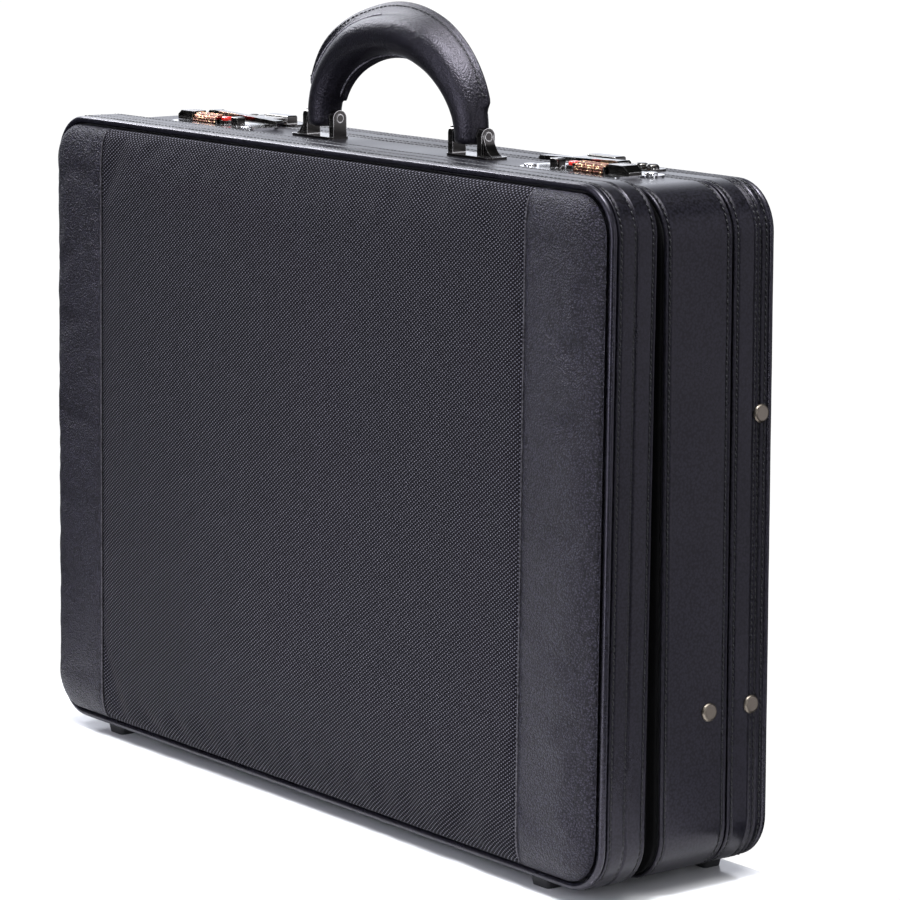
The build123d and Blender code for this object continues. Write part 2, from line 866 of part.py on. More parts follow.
def button_collar(side):
    """Square collar that guides the reset button."""
    bore = button_size + 2 * button_clearance
    outside = bore + 2 * collar_wall
    with BuildPart() as collar:
        with BuildSketch(Plane.XY.offset(plate_top)):
            with Locations(mirrored(side, button_x, dial_axis_y)):
                RectangleRounded(outside, outside, collar_corner)
                RectangleRounded(bore, bore, button_corner, mode=Mode.SUBTRACT)
        extrude(amount=collar_height)
    return collar


def dial(side, index):
    """Combination dial: a plain wheel with shallow finger notches round its rim."""
    start = side * dial_centre + (index - 1) * dial_pitch - dial_width / 2
    with BuildPart() as wheel:
        with BuildSketch(Plane.YZ.offset(start)):
            with Locations((dial_axis_y, dial_axis_z)):
                Circle(dial_radius)
                with PolarLocations(dial_radius + notch_offset, dial_notches):
                    Circle(notch_radius, mode=Mode.SUBTRACT)
                Circle(axle_radius + dial_bore_gap, mode=Mode.SUBTRACT)
        extrude(amount=dial_width)
    return wheel


def screw(place, plate, head_radius, head_height, head_round):
    """Screw with a rounded head on a plate of that thickness, on top of the base or lid."""
    with BuildPart() as piece:
        with BuildSketch(Plane.XY.offset(base_top + plate)):
            with Locations(place):
                Circle(head_radius)
        extrude(amount=head_height)
        fillet(piece.faces().sort_by(Axis.Z)[-1].edges(), head_round)
        with BuildSketch(Plane.XY.offset(base_top)):
            with Locations(place):
                Circle(screw_shank_radius)
        extrude(amount=plate)
    return piece.part


axle_parts = []
pin_parts = []
lock_screw_parts = []
for side, side_name in sides:
    save(lock_plate(side), f"lock_plate_{side_name}")
    works = [lock_housing(side).part, hasp_lugs(side).part, button_collar(side).part]
    save(group(works), f"lock_housing_{side_name}")
    save(hasp(side), f"hasp_{side_name}")
    save(thumb_slide(side), f"thumb_slide_{side_name}")
    save(reset_button(side), f"reset_button_{side_name}")
    for index in range(dial_count):
        save(dial(side, index), f"dial_{side_name}_{index + 1}")

    with BuildPart() as axle:
        axle_length = dial_count * dial_pitch + 2 * axle_end
        with BuildSketch(Plane.YZ.offset(side * dial_centre - axle_length / 2)):
            with Locations((dial_axis_y, dial_axis_z)):
                Circle(axle_radius)
        extrude(amount=axle_length)
    axle_parts.append(axle.part)

    with BuildPart() as pin:
        lug_reach = lug_gap + lug_thickness
        with BuildSketch(Plane.XZ.offset(-(hasp_front - lug_reach))):
            with Locations((side * hasp_pivot_x, hasp_pivot_z)):
                Circle(hasp_pin_radius)
        extrude(amount=-(hasp_width + 2 * lug_reach))
    pin_parts.append(pin.part)

    for place in (screw_inner, screw_outer):
        head = (screw_head_radius, screw_head_height, screw_round)
        lock_screw_parts.append(screw(mirrored(side, *place), plate_thickness, *head))

save(group(axle_parts), "dial_axles")
save(group(pin_parts), "hasp_pins")
save(group(lock_screw_parts), "lock_screws")

# ---- catches on the lid -------------------------------------------------------------------------

catch_front = 26.0
catch_width = 13.0
catch_inner_x = 114.0
catch_outer_x = 163.5
catch_plate = 1.1
catch_corner = 2.5
catch_block_x = 130.0
catch_block_length = 20.0
catch_block_front = 27.2
catch_block_width = 6.6
catch_block_height = 5.2
catch_block_round = 0.9
catch_screw_x = (151.3, 158.7)
catch_screw_y = 33.6
dome_radius = 3.3
dome_height = 2.2
dome_round = 1.8


def lid_catch(side):
    """Strike plate on the lid's edge, with the upstand that the latch bar's finger meets."""
    with BuildPart() as catch:
        with BuildSketch(Plane.XY.offset(base_top)):
            catch_centre_x = (catch_inner_x + catch_outer_x) / 2
            with Locations(mirrored(side, catch_centre_x, catch_front + catch_width / 2)):
                RectangleRounded(catch_outer_x - catch_inner_x, catch_width, catch_corner)
            for screw_x in catch_screw_x:
                with Locations(mirrored(side, screw_x, catch_screw_y)):
                    Circle(screw_hole_radius, mode=Mode.SUBTRACT)
        extrude(amount=catch_plate)
        with BuildSketch(Plane.XY.offset(base_top + catch_plate)):
            with Locations(mirrored(side, catch_block_x, catch_block_front + catch_block_width / 2)):
                Rectangle(catch_block_length, catch_block_width)
        extrude(amount=catch_block_height - catch_plate)
        upstand = catch.faces().sort_by(Axis.Z)[-1]
        fillet(upstand.edges(), catch_block_round)
    return catch


catch_screw_parts = []
for side, side_name in sides:
    save(lid_catch(side), f"lid_catch_{side_name}")
    for screw_x in catch_screw_x:
        place = mirrored(side, screw_x, catch_screw_y)
        catch_screw_parts.append(screw(place, catch_plate, dome_radius, dome_height, dome_round))
save(group(catch_screw_parts), "catch_screws")

# ---- organiser inside the lid -------------------------------------------------------------------

organiser_gap = 0.2
organiser_back = lid_back - board_depth - board_thickness - lining - organiser_gap
organiser_length = 380.0
organiser_bottom = foot_height + 29.0
organiser_top = foot_height + 293.0
organiser_thickness = 1.6
organiser_corner = 12.0


def organiser_patch(x, bottom, top, length, corner):
    """Rounded outline of a flat piece of the organiser, drawn in the current sketch."""
    with Locations((x, (bottom + top) / 2 - base_mid)):
        RectangleRounded(length, top - bottom, corner)


with BuildPart() as organiser_panel:
    with BuildSketch(base_level(organiser_back - organiser_thickness)):
        organiser_patch(0, organiser_bottom, organiser_top, organiser_length, organiser_corner)
    extrude(amount=-organiser_thickness)
save(organiser_panel, "organiser_panel")

pocket_back = organiser_back - organiser_thickness - glue_gap
pocket_bottom = foot_height + 35.0
pocket_top = foot_height + 165.0
pocket_side_length = 364.0
pocket_thickness = 4.0
card_pocket_bottom = foot_height + 189.0
card_pocket_top = foot_height + 279.0
card_pocket_length = 124.0
card_pocket_x = 112.0
card_pocket_thickness = 3.0
with BuildPart() as organiser_pockets:
    with BuildSketch(base_level(pocket_back - pocket_thickness)):
        organiser_patch(0, pocket_bottom, pocket_top, pocket_side_length, organiser_corner - 2)
    extrude(amount=-pocket_thickness)
    with BuildSketch(base_level(pocket_back - card_pocket_thickness)):
        for side, _ in sides:
            organiser_patch(
                side * card_pocket_x,
                card_pocket_bottom,
                card_pocket_top,
                card_pocket_length,
                organiser_corner / 2,
            )
    extrude(amount=-card_pocket_thickness)
save(organiser_pockets, "organiser_pockets")

pen_loop_bottom = foot_height + 225.0
pen_loop_height = 34.0
pen_loop_pitch = 22.0
pen_loop_half_width = 8.0
pen_loop_reach = 6.0
pen_loop_cloth = 0.8
with BuildPart() as pen_loops:
    with BuildSketch(Plane.XY.offset(pen_loop_bottom)):
        for place in (-1, 0, 1):
            with Locations((place * pen_loop_pitch, pocket_back)):
                Ellipse(pen_loop_half_width, pen_loop_reach)
                inside = (pen_loop_half_width - pen_loop_cloth, pen_loop_reach - pen_loop_cloth)
                Ellipse(*inside, mode=Mode.SUBTRACT)
                with Locations((0, pen_loop_reach)):
                    Rectangle(3 * pen_loop_half_width, 2 * pen_loop_reach, mode=Mode.SUBTRACT)
                with Locations((0, -pen_loop_cloth / 2)):
                    Rectangle(2 * pen_loop_half_width, pen_loop_cloth)
    extrude(amount=pen_loop_height)
save(pen_loops, "pen_loops")
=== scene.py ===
"""Looks of an expandable attache case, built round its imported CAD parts. Metres, in the row frame.

The tray (front) and lid (back) are padded halves with woven centres and leather flanks, piping and
stitched side bands. Between them are the base ring, with handle and locks, and a folded gusset.
"""

import math

import bpy
import numpy as np
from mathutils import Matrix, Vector


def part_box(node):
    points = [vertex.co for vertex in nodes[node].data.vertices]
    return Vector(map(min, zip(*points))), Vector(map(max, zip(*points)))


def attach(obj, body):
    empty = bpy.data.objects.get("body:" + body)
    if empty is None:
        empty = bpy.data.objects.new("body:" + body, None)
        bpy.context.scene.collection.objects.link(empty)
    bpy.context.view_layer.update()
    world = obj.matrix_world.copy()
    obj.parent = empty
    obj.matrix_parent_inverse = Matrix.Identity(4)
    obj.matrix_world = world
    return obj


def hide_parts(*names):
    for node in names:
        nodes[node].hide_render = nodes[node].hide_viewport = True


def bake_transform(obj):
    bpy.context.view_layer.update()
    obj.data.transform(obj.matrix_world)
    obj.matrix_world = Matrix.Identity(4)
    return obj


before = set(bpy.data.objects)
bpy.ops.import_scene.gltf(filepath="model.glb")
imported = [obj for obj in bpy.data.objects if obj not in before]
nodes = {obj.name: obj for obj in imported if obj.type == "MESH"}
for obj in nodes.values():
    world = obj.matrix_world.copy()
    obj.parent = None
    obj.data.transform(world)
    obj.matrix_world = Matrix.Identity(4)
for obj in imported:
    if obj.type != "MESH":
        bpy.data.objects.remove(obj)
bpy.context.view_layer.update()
scene = bpy.context.scene
rng = np.random.default_rng(7)
MM = 0.001

# ---- the case's sizes ---------------------------------------------------------------------------

base_lo, base_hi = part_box("base_band")
half_length = base_hi.x
base_half = (base_hi.z - base_lo.z) / 2
base_mid = (base_hi.z + base_lo.z) / 2
base_depth = base_hi.y - base_lo.y
corner = 23 * MM
piping_r = 1.7 * MM
tray_half = 158.4 * MM
tray_lean = 5 * MM
tray_tilt = math.asin(tray_lean / (2 * tray_half))
tray_depth = 25.3 * MM
lid_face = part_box("lid_piping")[1].y
lid_depth = lid_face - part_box("lid_band")[0].y
pad_inset = 4.3 * MM
pad_back = 3.5 * MM
seam_u = 173.0 * MM
hands = ((-1, "left"), (1, "right"))


class Level:
    """A face's own axes: u along it, v up it, d out of it."""

    def __init__(self, origin, along, out):
        self.origin = np.array(origin, float)
        self.along = np.array(along, float)
        self.out = np.array(out, float)
        self.up = np.cross(self.out, self.along)

    def at(self, u, v, d):
        u, v, d = np.broadcast_arrays(u, v, d)
        return (
            self.origin
            + u[..., None] * self.along
            + v[..., None] * self.up
            + d[..., None] * self.out
        )

    def turn(self, nu, nv):
        """Direction in the row frame of a direction in the face."""
        return nu[..., None] * self.along + nv[..., None] * self.up


tray_out = np.array([0, -math.cos(tray_tilt), math.sin(tray_tilt)])
tray_middle = sum((np.array(c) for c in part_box("tray_piping")), np.zeros(3)) / 2
tray = Level(tray_middle + tray_out * piping_r, (1, 0, 0), tray_out)
lid = Level((0, lid_face, base_mid), (-1, 0, 0), (0, 1, 0))
base = Level((0, base_lo.y, base_mid), (1, 0, 0), (0, -1, 0))
halves = (("tray", tray, tray_half), ("lid", lid, base_half))


# ---- mesh helpers -------------------------------------------------------------------------------


def new_object(name, verts, faces):
    """A mesh object in the scene."""
    mesh = bpy.data.meshes.new(name)
    mesh.from_pydata(np.asarray(verts).reshape(-1, 3).tolist(), [], faces)
    obj = bpy.data.objects.new(name, mesh)
    scene.collection.objects.link(obj)
    return obj


def piece(name, verts, faces, body, material, stand_for=(), sharp=None):
    """A mesh piece that rides on a body."""
    obj = new_object(name, verts, faces)
    finish_piece(obj, body, material, stand_for, sharp)
    return obj


def finish_piece(obj, body, material, stand_for=(), sharp=None):
    """Give a mesh its look, its body, and the CAD nodes that it stands for."""
    mesh = obj.data
    mesh.materials.clear()
    mesh.materials.append(material)
    mesh.polygons.foreach_set("use_smooth", [True] * len(mesh.polygons))
    if sharp:
        mesh.set_sharp_from_angle(angle=math.radians(sharp))
    mesh.update()
    if body:
        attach(obj, body)
    if stand_for:
        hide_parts(*stand_for)


def grid_faces(rows, cols, wrap_rows, wrap_cols, start=0, flip=False):
    """Quads of a grid of points, rows by cols, that may close on itself either way."""
    i = np.arange(rows if wrap_rows else rows - 1)
    j = np.arange(cols if wrap_cols else cols - 1)
    i, j = np.meshgrid(i, j, indexing="ij")
    a = i * cols + j
    b = ((i + 1) % rows) * cols + j
    c = ((i + 1) % rows) * cols + (j + 1) % cols
    d = i * cols + (j + 1) % cols
    order = (a, d, c, b) if flip else (a, b, c, d)
    return (np.stack(order, -1).reshape(-1, 4) + start).tolist()


def tube_faces(rings, sides, flip=False):
    """Faces of a row of rings, closed by one flat face at each end."""
    first = list(range(sides))
    last = [(rings - 1) * sides + k for k in range(sides)]
    ends = [first[::-1], last] if flip else [first, last[::-1]]
    return grid_faces(rings, sides, False, True, flip=flip) + ends


def two_sided_faces(rows, cols, turned):
    """Faces of two equal grids, one behind the other, joined round their rims."""
    size = rows * cols
    faces = grid_faces(rows, cols, False, False, flip=not turned)
    faces += grid_faces(rows, cols, False, False, start=size, flip=turned)
    rim = list(range(cols))
    rim += [r * cols + cols - 1 for r in range(1, rows)]
    rim += [(rows - 1) * cols + k for k in range(cols - 2, -1, -1)]
    rim += [r * cols for r in range(rows - 2, 0, -1)]
    for p, q in zip(rim, rim[1:] + rim[:1]):
        side = [p, q, q + size, p + size]
        faces.append(side[::-1] if turned else side)
    return faces


def width_at(v, half_w, half_h, radius):
    """How far a rounded rectangle reaches sideways from its middle at each height v."""
    past = np.clip(np.abs(v) - (half_h - radius), 0, radius)
    return half_w - radius + np.sqrt(np.clip(radius**2 - past**2, 0, None))


def quarter_round(distance, length):
    """0 to 1 over a length, steep where it starts and level where it ends."""
    return np.sqrt(1 - (1 - np.clip(distance / length, 0, 1)) ** 2)


def rounded(half_w, half_h, radius, step=4 * MM, turn=12):
    """Points and outward normals along a rounded rectangle, anticlockwise from its bottom middle."""
    points, normals = [], []
    centres = ((1, -1, -90), (1, 1, 0), (-1, 1, 90), (-1, -1, 180))
    for k, (sx, sy, first) in enumerate(centres):
        centre = np.array([sx * (half_w - radius), sy * (half_h - radius)])
        angles = np.radians(np.linspace(first, first + 90, turn + 1))
        arc = np.stack([np.cos(angles), np.sin(angles)], -1)
        points += list(centre + radius * arc)
        normals += list(arc)
        nx, ny, _ = centres[(k + 1) % 4]
        end = np.array([nx * (half_w - radius), ny * (half_h - radius)]) + radius * arc[-1]
        count = max(2, round(np.linalg.norm(end - points[-1]) / step))
        start = points[-1]
        for t in np.linspace(0, 1, count + 1)[1:-1]:
            points.append(start + t * (end - start))
            normals.append(arc[-1])
    points, normals = np.array(points), np.array(normals)
    middle = np.argmin(np.abs(points[:, 0]) + (points[:, 1] > 0))
    return np.roll(points, -middle, 0), np.roll(normals, -middle, 0)


def ripple(length, seed, size, wave):
    """A soft, repeatable unevenness along a closed run of points."""
    t = np.linspace(0, 2 * math.pi, length, endpoint=False)
    phases = np.random.default_rng(seed).uniform(0, 2 * math.pi, 4)
    total = sum(np.sin(wave * (k + 1) * t + p) / (k + 1) for k, p in enumerate(phases))
    return size * total / 2


def sweep(level, half_h, profile, uneven=0.0, seed=1, step=4 * MM):
    """A closed (outset, depth) profile carried round the case's outline; depth goes inwards."""
    points, normals = rounded(half_length, half_h, corner, step)
    outset, depth = np.array(profile).T
    wobble = ripple(len(points), seed, uneven, 23)[:, None]
    push = outset[None, :] + wobble * (outset[None, :] > -1.0 * MM)
    u = points[:, 0:1] + normals[:, 0:1] * push
    v = points[:, 1:2] + normals[:, 1:2] * push
    verts = level.at(u, v, -np.broadcast_to(depth[None, :], u.shape))
    return verts, grid_faces(len(points), len(profile), True, True)


def outline_run(level, half_h, outset, depth, step=2 * MM):
    """Points, and the directions that they face, along the outline at one depth."""
    points, normals = rounded(half_length, half_h, corner, step, 24)
    flat = points + normals * outset
    places = level.at(flat[:, 0], flat[:, 1], np.full(len(flat), -depth))
    return places, level.turn(normals[:, 0], normals[:, 1]), True


def stitch_shape():
    """One stitch lying along x: a short thread whose ends dive into the leather."""
    sides, dive = 6, 0.9
    rings = np.array([-1.0, -0.72, 0.0, 0.72, 1.0])
    girth = np.array([0.45, 0.95, 1.0, 0.95, 0.45])
    around = np.linspace(0, 2 * math.pi, sides, endpoint=False)
    ring = np.stack([np.zeros(sides), np.cos(around), np.sin(around)], -1)
    verts = np.array([np.array([x, 0, -dive * x * x]) + g * ring for x, g in zip(rings, girth)])
    return verts.reshape(-1, 3), tube_faces(len(rings), sides, flip=True)


stitch_verts, stitch_faces = stitch_shape()


def stitches(name, runs, body, pitch=3.0 * MM, length=2.3 * MM, thick=0.38 * MM):
    """Rows of slightly uneven thread along runs of (points, facing directions, closed)."""
    slant = math.radians(5)
    look_ahead = 0.5 * MM
    stray = 0.05 * pitch
    shortest, longest = 0.92, 1.08
    verts, faces = [], []
    for points, facing, closed in runs:
        ring = np.vstack([points, points[:1]]) if closed else points
        face = np.vstack([facing, facing[:1]]) if closed else facing
        steps = np.linalg.norm(np.diff(ring, axis=0), axis=1)
        along = np.concatenate([[0], np.cumsum(steps)])
        count = int(along[-1] // pitch)
        at = (np.arange(count) + 0.5) * along[-1] / count
        at = at + rng.normal(0, stray, count)
        ahead = np.clip(at + look_ahead, 0, along[-1])
        behind = np.clip(at - look_ahead, 0, along[-1])
        place, up, front, back = (
            np.stack([np.interp(s, along, values[:, k]) for k in range(3)], -1)
            for s, values in ((at, ring), (at, face), (ahead, ring), (behind, ring))
        )
        ex = front - back
        ex /= np.linalg.norm(ex, axis=1, keepdims=True)
        ez = up - (up * ex).sum(1, keepdims=True) * ex
        ez /= np.linalg.norm(ez, axis=1, keepdims=True)
        ey = np.cross(ez, ex)
        sx = math.cos(slant) * ex + math.sin(slant) * ey
        sy = math.cos(slant) * ey - math.sin(slant) * ex
        size = rng.uniform(shortest, longest, (count, 1))
        placed = (
            place[:, None]
            + stitch_verts[None, :, 0:1] * (sx * size * length / 2)[:, None]
            + stitch_verts[None, :, 1:2] * (sy * thick)[:, None]
            + stitch_verts[None, :, 2:3] * (ez * thick)[:, None]
        )
        for k in range(len(verts), len(verts) + count):
            faces += [[v + k * len(stitch_verts) for v in f] for f in stitch_faces]
        verts += list(placed)
    piece(name, np.array(verts), faces, body, thread)


# ---- materials ----------------------------------------------------------------------------------


class Nodes:
    """A short way to write a material's node tree."""

    def __init__(self, name, **uniform):
        self.material = bpy.data.materials.new(name)
        self.material.use_nodes = True
        self.tree = self.material.node_tree
        self.shader = self.tree.nodes["Principled BSDF"]
        for socket, value in uniform.items():
            self.shader.inputs[socket.replace("_", " ")].default_value = value
        self.coords = self.tree.nodes.new("ShaderNodeTexCoord").outputs["Object"]

    def link(self, a, b):
        self.tree.links.new(a, b)

    def put(self, socket, value):
        if isinstance(value, bpy.types.NodeSocket):
            self.link(value, socket)
        else:
            socket.default_value = value

    def math(self, operation, a, b=0.0):
        node = self.tree.nodes.new("ShaderNodeMath")
        node.operation = operation
        for socket, value in zip(node.inputs, (a, b)):
            self.put(socket, value)
        return node.outputs[0]

    def scaled(self, scale):
        node = self.tree.nodes.new("ShaderNodeMapping")
        node.inputs["Scale"].default_value = scale
        self.link(self.coords, node.inputs["Vector"])
        return node.outputs[0]

    def noise(self, scale, detail=2.0, vector=None, rough=0.5):
        node = self.tree.nodes.new("ShaderNodeTexNoise")
        node.inputs["Scale"].default_value = scale
        node.inputs["Detail"].default_value = detail
        node.inputs["Roughness"].default_value = rough
        self.link(vector or self.coords, node.inputs["Vector"])
        return node.outputs["Fac"]

    def cells(self, scale, feature="F1", smooth=0.4):
        node = self.tree.nodes.new("ShaderNodeTexVoronoi")
        node.feature = feature
        node.inputs["Scale"].default_value = scale
        if feature == "SMOOTH_F1":
            node.inputs["Smoothness"].default_value = smooth
        self.link(self.coords, node.inputs["Vector"])
        return node.outputs["Distance"]

    def spread(self, value, low, high, from_low=0.0, from_high=1.0):
        node = self.tree.nodes.new("ShaderNodeMapRange")
        for socket, setting in zip(node.inputs, (value, from_low, from_high, low, high)):
            self.put(socket, setting)
        return node.outputs[0]

    def mix(self, factor, a, b):
        node = self.tree.nodes.new("ShaderNodeMix")
        node.data_type = "RGBA"
        self.put(node.inputs["Factor"], factor)
        self.put(node.inputs["A"], a)
        self.put(node.inputs["B"], b)
        return node.outputs["Result"]

    def bump(self, height, strength, distance, normal=None):
        node = self.tree.nodes.new("ShaderNodeBump")
        node.inputs["Strength"].default_value = strength
        node.inputs["Distance"].default_value = distance
        self.put(node.inputs["Height"], height)
        if normal:
            self.link(normal, node.inputs["Normal"])
        return node.outputs[0]

    def painted_edge_mask(self, radius):
        """1 on sharp edges, 0 on flats; it places the painted highlights and painted shade on metal edges.
        """
        bevel = self.tree.nodes.new("ShaderNodeBevel")
        bevel.samples = 6
        bevel.inputs["Radius"].default_value = radius
        dot = self.tree.nodes.new("ShaderNodeVectorMath")
        dot.operation = "DOT_PRODUCT"
        self.link(bevel.outputs[0], dot.inputs[0])
        self.link(self.tree.nodes.new("ShaderNodeNewGeometry").outputs["Normal"], dot.inputs[1])
        return self.spread(dot.outputs["Value"], 1.0, 0.0, 0.93, 0.998)


def grey(value, blue=1.4):
    """A grey that leans to blue."""
    return (value, value * 0.96, value * blue, 1)


cool_shine = (0.93, 0.87, 1.0, 1)


def leather(
    name,
    tone,
    rough,
    grain,
    depth,
    specular=0.27,
    relief=0.35 * MM,
    fleck=0.2,
    pebble_highlight_tone=3,
    sway=0.35,
    blue=1.4,
):
    """Pebble-grained leather: small uneven cells, finer creases between them, and a light wear. The cells'
    tops are painted lighter as painted highlights and the creases between them darker as painted shade.
    """
    m = Nodes(name, Specular_IOR_Level=specular, Specular_Tint=cool_shine)
    drift = m.noise(14, 3)
    pebble = m.cells(1000 / grain, "SMOOTH_F1", smooth=0.5)
    creases = m.noise(2600 / grain, 4, rough=0.65)
    pores = m.cells(2300 / grain)
    height = m.math("ADD", m.math("MULTIPLY", pebble, 0.9), m.math("MULTIPLY", creases, 0.7))
    height = m.math("ADD", height, m.math("MULTIPLY", pores, 0.25))
    normal = m.bump(m.noise(26, 1), sway, 1.0 * MM)
    m.link(m.bump(height, depth, relief, normal), m.shader.inputs["Normal"])
    low, high = grey(tone * 0.75, blue), grey(tone * 1.35, blue)
    shade = m.mix(m.spread(drift, 0, 1, 0.3, 0.7), low, high)
    # pebble tops painted lighter: a painted highlight standing for the glints on the grain
    shade = m.mix(m.spread(pebble, 0.0, fleck, 0.45, 0.1), shade, grey(tone * pebble_highlight_tone, blue))
    # creases between the pebbles painted darker: painted shade
    shade = m.mix(m.spread(pebble, 0.0, 0.8, 0.4, 0.7), shade, grey(tone * 0.1, blue))
    m.link(shade, m.shader.inputs["Base Color"])
    patches = m.spread(m.noise(18, 1), rough - 0.05, rough + 0.05, 0.3, 0.7)
    m.link(m.math("ADD", patches, m.math("MULTIPLY", creases, 0.08)), m.shader.inputs["Roughness"])
    return m.material


def woven(name, warp, weft, tone):
    """Plain ballistic weave: upright warp over level weft, thread by thread, across the face."""
    sheen = {"Sheen_Weight": 0.015, "Sheen_Roughness": 0.4}
    m = Nodes(name, Specular_IOR_Level=0.08, Specular_Tint=cool_shine, **sheen)
    split = m.tree.nodes.new("ShaderNodeSeparateXYZ")
    m.link(m.coords, split.inputs[0])
    wander = m.math("MULTIPLY", m.math("SUBTRACT", m.noise(25, 2), 0.5), 0.9)
    u = m.math("ADD", m.math("MULTIPLY", split.outputs["X"], math.pi / warp), wander)
    v = m.math("ADD", m.math("MULTIPLY", split.outputs["Z"], math.pi / weft), wander)
    lead = m.math("COSINE", m.math("SUBTRACT", u, v))
    cross = m.math("COSINE", m.math("ADD", u, v))
    height = m.spread(m.math("SUBTRACT", lead, m.math("MULTIPLY", cross, 0.6)), 0.0, 1.0, -1.0, 1.6)
    fibre = m.noise(9000, 2)
    full = m.math("ADD", height, m.math("MULTIPLY", fibre, 0.12))
    m.link(m.bump(full, 1.0, 0.7 * MM), m.shader.inputs["Normal"])
    shade = m.mix(m.noise(60, 3), grey(tone * 0.9, 1.15), grey(tone * 1.1, 1.15))
    # thread tops painted lighter and the hollows between threads painted near black: painted highlight and
    # painted shade
    lit = m.math("POWER", m.spread(height, 0.0, 1.0, 0.32, 0.94), 3.5)
    m.link(m.mix(lit, grey(tone * 0.02), shade), m.shader.inputs["Base Color"])
    m.link(m.spread(lit, 0.75, 0.4), m.shader.inputs["Roughness"])
    return m.material


def cloth_finish(name, tone, pitch, sheen=0.15, specular=0.25):
    """Fine lining or gusset cloth: small cells of thread and a soft nap."""
    m = Nodes(name, Sheen_Weight=sheen, Specular_IOR_Level=specular)
    weave = m.cells(1 / pitch, "SMOOTH_F1")
    m.link(m.bump(m.math("ADD", weave, m.noise(2500, 3)), 0.4, 0.3 * MM), m.shader.inputs["Normal"])
    shade = m.mix(m.noise(90, 4), grey(tone * 0.6, 1.05), grey(tone * 1.5, 1.05))
    m.link(shade, m.shader.inputs["Base Color"])
    m.link(m.spread(m.noise(200, 3), 0.77, 0.93), m.shader.inputs["Roughness"])
    return m.material


def metal(
    name, colour, rough, brush=(60, 60, 60), scuff=0.15, painted_edge_colour=None, edge_radius=0.3 * MM, flecks=None
):
    """Polished or brushed metal with fine scratches and fingered patches; its sharp edges are painted
    another colour, lighter as painted highlights, darker as a painted shadow ring on the rivets.
    """
    m = Nodes(name, Metallic=1.0)
    lines = m.noise(30, 4, m.scaled(brush), 0.6)
    smudge = m.noise(120, 3)
    # edge colour: the given one, else 1.6 times the base colour, a painted highlight
    edge_colour = painted_edge_colour or tuple(min(1.0, c * 1.6) for c in colour)
    base_tone = m.mix(m.spread(smudge, 0, 1, 0.35, 0.7), (*[c * 0.86 for c in colour], 1), (*colour, 1))
    if flecks:
        fleck = m.spread(m.cells(620), 1.0, 0.0, 0.27, 0.42)
        base_tone = m.mix(fleck, base_tone, (*flecks, 1))
    # sharp edges take the edge colour: painted highlight where it is lighter, painted shade where it is
    # darker
    m.link(m.mix(m.painted_edge_mask(edge_radius), base_tone, (*edge_colour, 1)), m.shader.inputs["Base Color"])
    fingered = m.spread(smudge, rough * 0.7, rough * 1.35, 0.3, 0.7)
    m.link(m.math("ADD", fingered, m.math("MULTIPLY", lines, scuff)), m.shader.inputs["Roughness"])
    m.link(m.bump(lines, 0.05, 0.05 * MM), m.shader.inputs["Normal"])
    return m.material


def plastic(name, colour, rough, grain, coat=0.0):
    """Plastic, board, rubber or thread, with a fine speck and grain."""
    m = Nodes(name, Coat_Weight=coat, Coat_Roughness=0.08)
    speck = m.noise(500, 4)
    low, high = (*[c * 0.8 for c in colour], 1), (*[c * 1.15 for c in colour], 1)
    m.link(m.mix(speck, low, high), m.shader.inputs["Base Color"])
    m.link(m.spread(m.noise(90, 3), rough * 0.85, rough * 1.15), m.shader.inputs["Roughness"])
    m.link(m.bump(m.noise(1800, 3), grain, 0.2 * MM), m.shader.inputs["Normal"])
    return m.material


side_leather = leather("side_leather", 0.007, 0.28, 1.2, 0.03, 0.27, sway=0.2)
# the flanks' pebble tops carry strong painted highlights
flank_leather = leather("flank_leather", 0.0085, 0.33, 0.95, 1.0, 0.25, 0.8 * MM, fleck=0.9, pebble_highlight_tone=6)
handle_leather = leather("handle_leather", 0.006, 0.26, 1.0, 0.5, specular=0.42, sway=0.1)
# pale leather for the handle's seam cords: a painted highlight along each seam
highlit_seam_leather = leather("highlit_seam_leather", 0.18, 0.4, 1.0, 0.15, blue=1.06)
# leather lighter than the flanks for their folded edges: a painted highlight along each fold
highlit_fold_leather = leather("highlit_fold_leather", 0.05, 0.3, 1.0, 0.1, blue=1.06)
piping_leather = leather("piping_leather", 0.01, 0.24, 1.1, 0.008, specular=0.4, sway=0.05)
organiser_leather = leather("organiser_leather", 0.014, 0.5, 1.8, 0.3)
thread = plastic("thread", (0.003, 0.003, 0.004), 0.6, 0.06)
nylon = woven("woven_nylon", 1.27 * MM, 0.94 * MM, 0.155)
# black gusset cloth darkened further to near black: painted shade for the deep gap between base and tray
gusset_cloth = cloth_finish("gusset_cloth", 0.002, 1.0 * MM, sheen=0.0, specular=0.05)
lining_cloth = cloth_finish("lining_cloth", 0.02, 0.8 * MM)
board = plastic("case_board", (0.012, 0.012, 0.013), 0.7, 0.4)
trim = plastic("valance_trim", (0.02, 0.02, 0.022), 0.5, 0.2)
# near-white edge colour: painted highlights along the gunmetal's edges
gunmetal = metal(
    "gunmetal", (0.085, 0.08, 0.074), 0.13, scuff=0.06, painted_edge_colour=(0.9, 0.88, 0.84), edge_radius=0.6 * MM
)
# nickel and steel take the default edge colour, 1.6 times lighter: painted highlights on their edges
nickel = metal("bright_nickel", (0.78, 0.78, 0.79), 0.12, scuff=0.1)
steel = metal("hinge_steel", (0.45, 0.45, 0.46), 0.3, brush=(4, 80, 80))
# dark edge colour over a wide radius: a painted shadow ring round each rivet head
shadow_ringed_rivet_metal = metal(
    "rivet_metal", (0.22, 0.19, 0.155), 0.3, scuff=0.2, painted_edge_colour=(0.05, 0.045, 0.04), edge_radius=1.6 * MM
)
